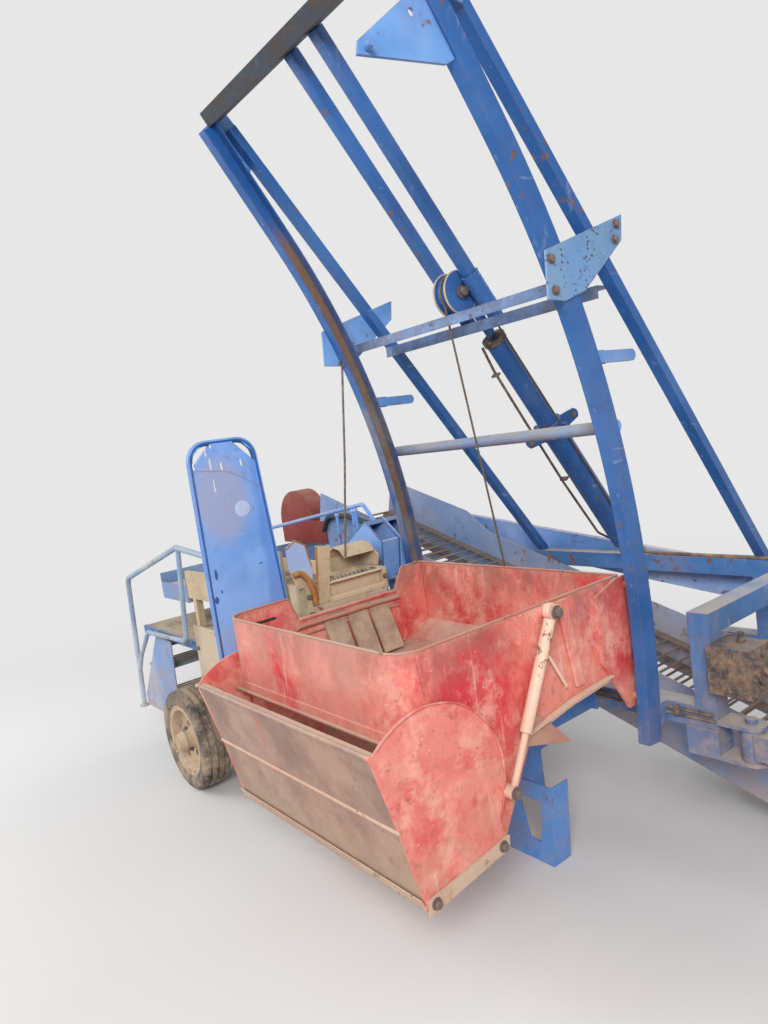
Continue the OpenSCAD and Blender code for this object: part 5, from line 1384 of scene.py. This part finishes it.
class HARVESTER_OT_chassis_trim(Shop, bpy.types.Operator):
    """Adds bolts, hose runs and caps to the chassis"""
    bl_idname = "harvester.chassis_trim"
    bl_label = "Chassis trim"

    def execute(self, context):
        self.frame_bolts()
        self.hoses(context.scene.harvester_sizes.line)
        self.gearbox()
        self.drawbar()
        self.guard()
        return {"FINISHED"}

    def frame_bolts(self):
        places = []
        for x in (RAIL_REAR, RAIL_FRONT):
            for dx in (-0.012, 0.012):
                places.append(((x + dx, 0.0895, 0.54), (0, -1, 0)))
        places += [((x, 0.0898, z), (0, -1, 0)) for x in (0.085, 0.175) for z in (0.505, 0.548)]
        found = []
        for (x, y, z), way in places:
            found.append((touch("main_frame", (x, -0.6, z), (0, 1, 0), 1.2), way))
        bolts_on("frame_bolts", found, 0.019, "chassis")
        caps = []
        for k, y in enumerate((0.130, 0.985)):
            caps.append(bar(f"rail_cap_{k}", (-2.2535, y - 0.036, 0.504), (-2.2498, y + 0.036, 0.576), 0.0012))
        dress(join("rail_caps", caps), "belt_rubber", "chassis")

    def hoses(self, r):
        """Steel lines and hoses clipped along the right rail and up to the cylinder's foot."""
        y, z = 0.0885 - r, 0.56
        run = [(0.690, y, z), (0.30, y, z), (-0.60, y, z), (-0.97, y, z), (-1.60, y, z - 0.02), (-2.20, y, z)]
        dress(bent_bar("rail_line", run, r, 3, 0.04), "dark_iron", "chassis")
        run = [(0.690, y, z - 0.022), (0.36, y, z - 0.022), (-0.60, y, z - 0.022), (-1.58, y, z - 0.042)]
        dress(bent_bar("rail_line_low", run, r * 0.85, 3, 0.04), "belt_rubber", "chassis")
        clips = [bar(f"line_clip_{k}", (x - 0.008, 0.0778, 0.530), (x + 0.008, 0.0898, 0.572), 0.0015) for k,
                 x in enumerate((0.55, 0.02, -0.42, -1.02, -1.42))]
        dress(join("line_clips", clips), "dark_iron", "chassis")
        over = [(0.655, 0.940, 0.936), (0.30, 0.958, 0.936), (-0.02, 0.960, 0.938),
                (MAST_X + 0.06, 0.955, 0.945), (MAST_X + 0.052, 0.935, 0.975)]
        dress(bent_bar("cylinder_hose", over, 0.009, 3, 0.05), "belt_rubber", "chassis")

    def gearbox(self):
        places = [((0.8506, DRAWBAR_Y + dy, 0.740 + dz), (1, 0, 0)) for dy in (-0.06, 0.06) for dz in (-0.068,
                0.068)]
        places += [((0.8506, DRAWBAR_Y + 0.058 * math.cos(a), 0.740 + 0.058 * math.sin(a)),
                    (1, 0, 0)) for a in (0.3, 1.35, 2.4, 3.45, 4.5, 5.55)]
        bolts_on("gearbox_bolts", places, 0.016, "chassis")
        plug = spun_z("gearbox_breather", ((0.0, 0.0), (0.0, 0.014), (0.008, 0.014), (0.010, 0.009),
                                           (0.022, 0.009), (0.026, 0.012), (0.034, 0.011), (0.038, 0.0)),
                                           (0.775, 0.160, 0.8245))
        dress(plug, "dark_iron", "chassis")
        fins = [bar(f"gearbox_rib_{k}", (0.715 + k * 0.030, 0.0515, 0.672), (0.722 + k * 0.030, 0.0553, 0.808),
                    0.001) for k in range(5)]
        dress(join("gearbox_ribs", fins), "dark_iron", "chassis")

    def drawbar(self):
        eye_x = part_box("drawbar")[1][0] - 0.045
        bush = spun_z("hitch_bush", ((-0.016, 0.026), (-0.016, 0.034), (-0.0145, 0.036), (0.0145, 0.036),
                                     (0.016, 0.034), (0.016, 0.026)), (eye_x, DRAWBAR_Y, 0.470))
        dress(bush, "bolt_steel", "drawbar_body")
        nuts = [((x, DRAWBAR_Y + 0.0425 * s, z), (0, s, 0)) for s in (-1, 1) for x in (0.95, 1.45,
                2.33) for z in (0.445, 0.495)]
        found = [(touch("drawbar", (x, y + (0.4 if way[1] > 0 else -0.4), z), (0, -way[1], 0), 0.6),
                  way) for (x, y, z), way in nuts]
        bolts_on("drawbar_bolts", found, 0.019, "drawbar_body")
        hose = [(0.90, 0.1, 0.5185), (1.30, 0.105, 0.5185), (1.90, 0.115, 0.5185), (2.36, 0.125, 0.5185)]
        dress(bent_bar("drawbar_hose", hose, 0.008, 3, 0.1), "belt_rubber", "drawbar_body")
        loops = [bar(f"hose_loop_{k}", (x - 0.007, 0.088, 0.5148), (x + 0.007, 0.140, 0.5282), 0.0015) for k,
                 x in enumerate((1.10, 1.62, 2.12))]
        dress(join("hose_loops", loops), "dark_iron", "drawbar_body")

    def guard(self):
        """Raised rib, latches and bolts on the long chain guard."""
        a, b = Vector((0.760, 0.0, 0.740)), Vector((-2.050, 0.0, 1.120))
        d = (b - a).normalized()
        n = Vector((-d.z, 0.0, d.x))
        y = 1.0857
        rib = [a + d * 0.10 + n * 0.05, b - d * 0.10 + n * 0.05, b - d * 0.10 - n * 0.05,
               a + d * 0.10 - n * 0.05]
        dress(bent_bar("guard_rib", [(p.x, y, p.z) for p in rib], 0.006, 2, 0.03, True), "panel_blue",
              "chassis")
        places = []
        for k in range(9):
            for s in (-1, 1):
                p = a + d * (0.05 + 0.335 * k) + n * 0.072 * s
                places.append(((p.x, 1.0849, p.z), (0, 1, 0)))
        bolts_on("guard_bolts", places, 0.014, "chassis")
        hinge = [bar(f"guard_latch_{k}", ((a + d * t).x - 0.03, y - 0.001, (a + d * t).z - 0.012),
                     ((a + d * t).x + 0.03, y + 0.009, (a + d * t).z + 0.012), 0.003) for k,
                     t in enumerate((0.55, 1.40, 2.25))]
        dress(join("guard_latches", hinge), "dark_iron", "chassis")


class HARVESTER_OT_guide_trim(Shop, bpy.types.Operator):
    """Adds the lift guides' square bars, the sheave's edges, the lift rope and the cylinder's lugs"""
    bl_idname = "harvester.guide_trim"
    bl_label = "Guides and lift rope"

    def execute(self, context):
        rope = context.scene.harvester_sizes.rope
        self.guides()
        self.sheave(rope)
        self.lift_rope(rope)
        self.lugs()
        self.hanging_rod()
        return {"FINISHED"}

    def guides(self):
        """Two square bars, each seated on the cross bars and under the top beam."""
        half, low = 0.023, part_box("guide_tubes")[0][2]
        reach = (touch("mast_top", on_lift(0.08, 0.85), LIFT_UP, 0.6) - on_lift(0.08, 0.85)).length
        for side in (-0.08, 0.08):
            deselect()
            bpy.ops.mesh.primitive_cube_add(size=1.0, location=LIFT)
            piece = bpy.context.object
            settle(piece, "guide_rear" if side < 0 else "guide_front")
            for v in piece.data.vertices:
                across = half if v.co.x > LIFT.x else -half
                out = half if v.co.y > LIFT.y else -half
                start = on_lift(side + across, 0.85, out)
                if v.co.z > LIFT.z:
                    v.co = start + LIFT_UP * reach
                else:
                    v.co = start - LIFT_UP * (start.z - low) / LIFT_UP.z
            rounded(piece, 0.004, 3)
            smooth(piece)
            dress(piece, "mast_blue", "chassis")
            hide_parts("guide_tubes")

    def sheave(self, rope):
        """Dusty edges on the sheave's two cheeks, and the rope in its groove."""
        rims = []
        for k, x in enumerate((-0.032, 0.032)):
            row = self.turn(SHEAVE + Vector((x, 0, 0)), 0.0855, 0, 360, 48)
            rims.append(bent_bar(f"sheave_rim_{k}", row[:-1], 0.0042, 2, 0.0, True))
        dress(join("sheave_rims", rims), "dusty_cream", "lift_carriage")
        row = self.turn(SHEAVE, SHEAVE_R + rope, 180, 0, 32)
        dress(bent_bar("rope_bend", row, rope, 2), "rope_wire", "lift_carriage")

    def turn(self, centre, radius, start, stop, count):
        """Points on an arc in the sheave's plane, with its angles in degrees."""
        return [centre + LIFT_OUT * a + LIFT_UP * b for a, b in ring_of((0.0, 0.0), radius, start, stop, count)]

    def lift_rope(self, rope):
        """Rope from the sheave down to the bunker's back wall."""
        top = SHEAVE - LIFT_OUT * (SHEAVE_R + rope)
        eye = Vector((MAST_X, BUNKER_BACK + 0.006, 1.020))
        piece = wire_rope("lift_rope", top, eye, rope)
        dress(piece, "rope_wire", "bunker")
        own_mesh(piece)
        shackle = [(eye.y - 0.004, 0.985), (eye.y - 0.004, 1.030), (eye.y + 0.012, 1.038),
                   (eye.y + 0.016, 1.030), (eye.y + 0.016, 0.985)]
        dress(plate("rope_eye", shackle, "x", eye.x - 0.010, eye.x + 0.010, 0.002), "dark_iron", "bunker")

    def lugs(self):
        """Two drilled lugs on the collar of the lift cylinder."""
        made = []
        way = (Vector((0.62, 0, 0)) + LIFT_OUT * 0.78).normalized()
        side = way.cross(LIFT_UP)
        outline = ((0.046, -0.040), (0.100, -0.030), (0.128, -0.024), (0.136, -0.006), (0.136, 0.012),
                   (0.126, 0.026),
                   (0.100, 0.030), (0.046, 0.034))
        for k, s in enumerate((1, -1)):
            corners = [on_lift(0, COLLAR_UP + b) + way * s * a for a, b in outline]
            lug = slab(f"barrel_lug_{k}", corners, side * 0.008)
            rounded(lug, 0.002)
            made.append(lug)
        dress(join("barrel_lugs", made), "mast_blue", "chassis")
        places = [(tuple(on_lift(0, COLLAR_UP) + way * s * 0.112 + side * d), tuple(side * w)) for s in (1,
                -1) for d, w in ((0.008, 1), (0.0, -1))]
        bolts_on("barrel_lug_bolts", places, 0.020, "chassis")

    def hanging_rod(self):
        """Thin rod from the rear rail's lug down to the sheet cover beside the roller."""
        x = RAIL_REAR
        top, foot = Vector((x, -0.250, 2.050)), Vector((-0.835, -0.345, 1.166))
        rod = bent_bar("hanging_rod", [top, top + (foot - top) * 0.5 + Vector((0, 0.006, 0)), foot], 0.0052, 3,
                       0.5)
        eye = bent_bar("hanging_rod_eye", [(x, a, b) for a, b in ring_of((-0.250, 2.062), 0.013, 270, 600, 20)],
                       0.0045, 2)
        dress(join("hanging_rod", [rod, eye]), "dark_iron", "chassis")


class HARVESTER_OT_digger_trim(Shop, bpy.types.Operator):
    """Adds the shares' and discs' fastenings, rivets on the web's edge belts, and wall bolts"""
    bl_idname = "harvester.digger_trim"
    bl_label = "Digger and web trim"

    def execute(self, context):
        self.wall_bolts()
        self.web_belts()
        self.shares()
        self.hubs()
        return {"FINISHED"}

    def wall_bolts(self):
        """Bolt heads along the outside of both web walls."""
        lo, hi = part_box("web_walls")
        places = []
        for k in range(9):
            x = 0.75 - 0.31 * k
            z = 0.27 + (0.95 - x) * 0.3133
            for start, way in ((lo[1] - 0.1, (0, 1, 0)), (hi[1] + 0.1, (0, -1, 0))):
                wall = frame["nodes"]["web_walls"].ray_cast(Vector((x, start, z)), Vector(way), distance=0.16)
                if wall[0]:
                    places.append((tuple(wall[1]), (0, -way[1], 0)))
        if len(places) < 8:
            raise RuntimeError("the web's walls are not where the trim expects them")
        bolts_on("web_wall_bolts", places, 0.022, "chassis")

    def web_belts(self):
        """Rivets along the top of the two belts that carry the web's rods."""
        deselect()
        bpy.ops.mesh.primitive_cylinder_add(vertices=8, radius=0.0055, depth=0.003, location=(0, 0, 0.0012))
        rivet = settle(bpy.context.object, "rivet")
        rounded(rivet, 0.0012, 1)
        along = Vector((-3.000, 0.0, 0.940)).normalized()
        up = Vector((0.940, 0.0, 3.000)).normalized()
        turn = up.to_track_quat("Z", "Y").to_matrix().to_4x4()
        made = []
        for y in (0.363, 0.381, 0.884, 0.902):
            for k in range(38):
                start = Vector((0.950, y, 0.180)) + along * (0.12 + 0.075 * k) + up * 0.25
                made.append(copy_at(rivet, Matrix.Translation(touch("main_web", start, -up, 0.3)) @ turn))
        bpy.data.objects.remove(rivet)
        dress(join("web_rivets", made), "bolt_steel", "chassis")

    def shares(self):
        """Two sunk bolts in each share blade."""
        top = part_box("shares")[1][2]
        width = (0.925 - 0.340 - 0.090) / 3
        places = []
        for k in range(3):
            for side in (-0.048, 0.048):
                start = Vector((1.150, 0.385 + width * (k + 0.5) + side, top + 0.1))
                hit, point, normal, _ = frame["nodes"]["shares"].ray_cast(start, Vector((0, 0, -1)),
                        distance=0.4)
                if not hit:
                    raise RuntimeError("the shares are not where the trim expects them")
                places.append((tuple(point), tuple(normal)))
        bolts_on("share_bolts", places, 0.024, "digger")

    def hubs(self):
        """Turned hubs with a ring of bolts inside both disc coulters."""
        lo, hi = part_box("disc_coulters")
        x, z = (lo[0] + hi[0]) / 2, (lo[2] + hi[2]) / 2
        for name, y, way in (("right", 0.358, 1), ("left", 0.907, -1)):
            profile = [(0.0, 0.0142), (0.0, 0.066), (0.004 * way, 0.066), (0.006 * way, 0.062),
                       (0.006 * way, 0.034), (0.018 * way, 0.030), (0.021 * way, 0.026), (0.021 * way, 0.0142)]
            dress(spun(f"disc_hub_{name}", profile, (x, y, z), 40), "dark_iron", "coulter_body")
            places = []
            for k in range(5):
                a = 2 * math.pi * k / 5
                places.append(((x + 0.050 * math.cos(a), y + 0.006 * way, z + 0.050 * math.sin(a)),
                               (0, way, 0)))
            bolts_on(f"disc_bolts_{name}", places, 0.014, "coulter_body")


OPERATORS = [
    HARVESTER_OT_stage,
    HARVESTER_OT_paint,
    HARVESTER_OT_tyres,
    HARVESTER_OT_wheel_trim,
    HARVESTER_OT_bunker_trim,
    HARVESTER_OT_flap_trim,
    HARVESTER_OT_board_trim,
    HARVESTER_OT_mast_trim,
    HARVESTER_OT_lift_trim,
    HARVESTER_OT_picking_trim,
    HARVESTER_OT_platform_trim,
    HARVESTER_OT_chassis_trim,
    HARVESTER_OT_guide_trim,
    HARVESTER_OT_digger_trim,
]


class HARVESTER_PT_panel(bpy.types.Panel):
    bl_label = "Potato harvester"
    bl_idname = "HARVESTER_PT_panel"
    bl_space_type = "VIEW_3D"
    bl_region_type = "UI"
    bl_category = "Harvester"

    def draw(self, context):
        for group in (context.scene.harvester_colours, context.scene.harvester_sizes):
            for key in group.__annotations__:
                self.layout.prop(group, key)
        for op in OPERATORS:
            self.layout.operator(op.bl_idname)


def register():
    for cls in (HarvesterColours, HarvesterSizes, *OPERATORS, HARVESTER_PT_panel):
        bpy.utils.register_class(cls)
    bpy.types.Scene.harvester_colours = PointerProperty(type=HarvesterColours)
    bpy.types.Scene.harvester_sizes = PointerProperty(type=HarvesterSizes)


def unregister():
    del bpy.types.Scene.harvester_sizes
    del bpy.types.Scene.harvester_colours
    for cls in (HARVESTER_PT_panel, *reversed(OPERATORS), HarvesterSizes, HarvesterColours):
        bpy.utils.unregister_class(cls)


def main():
    register()
    for op in OPERATORS:
        group, action = op.bl_idname.split(".")
        getattr(getattr(bpy.ops, group), action)()


if __name__ == "__main__":
    main()
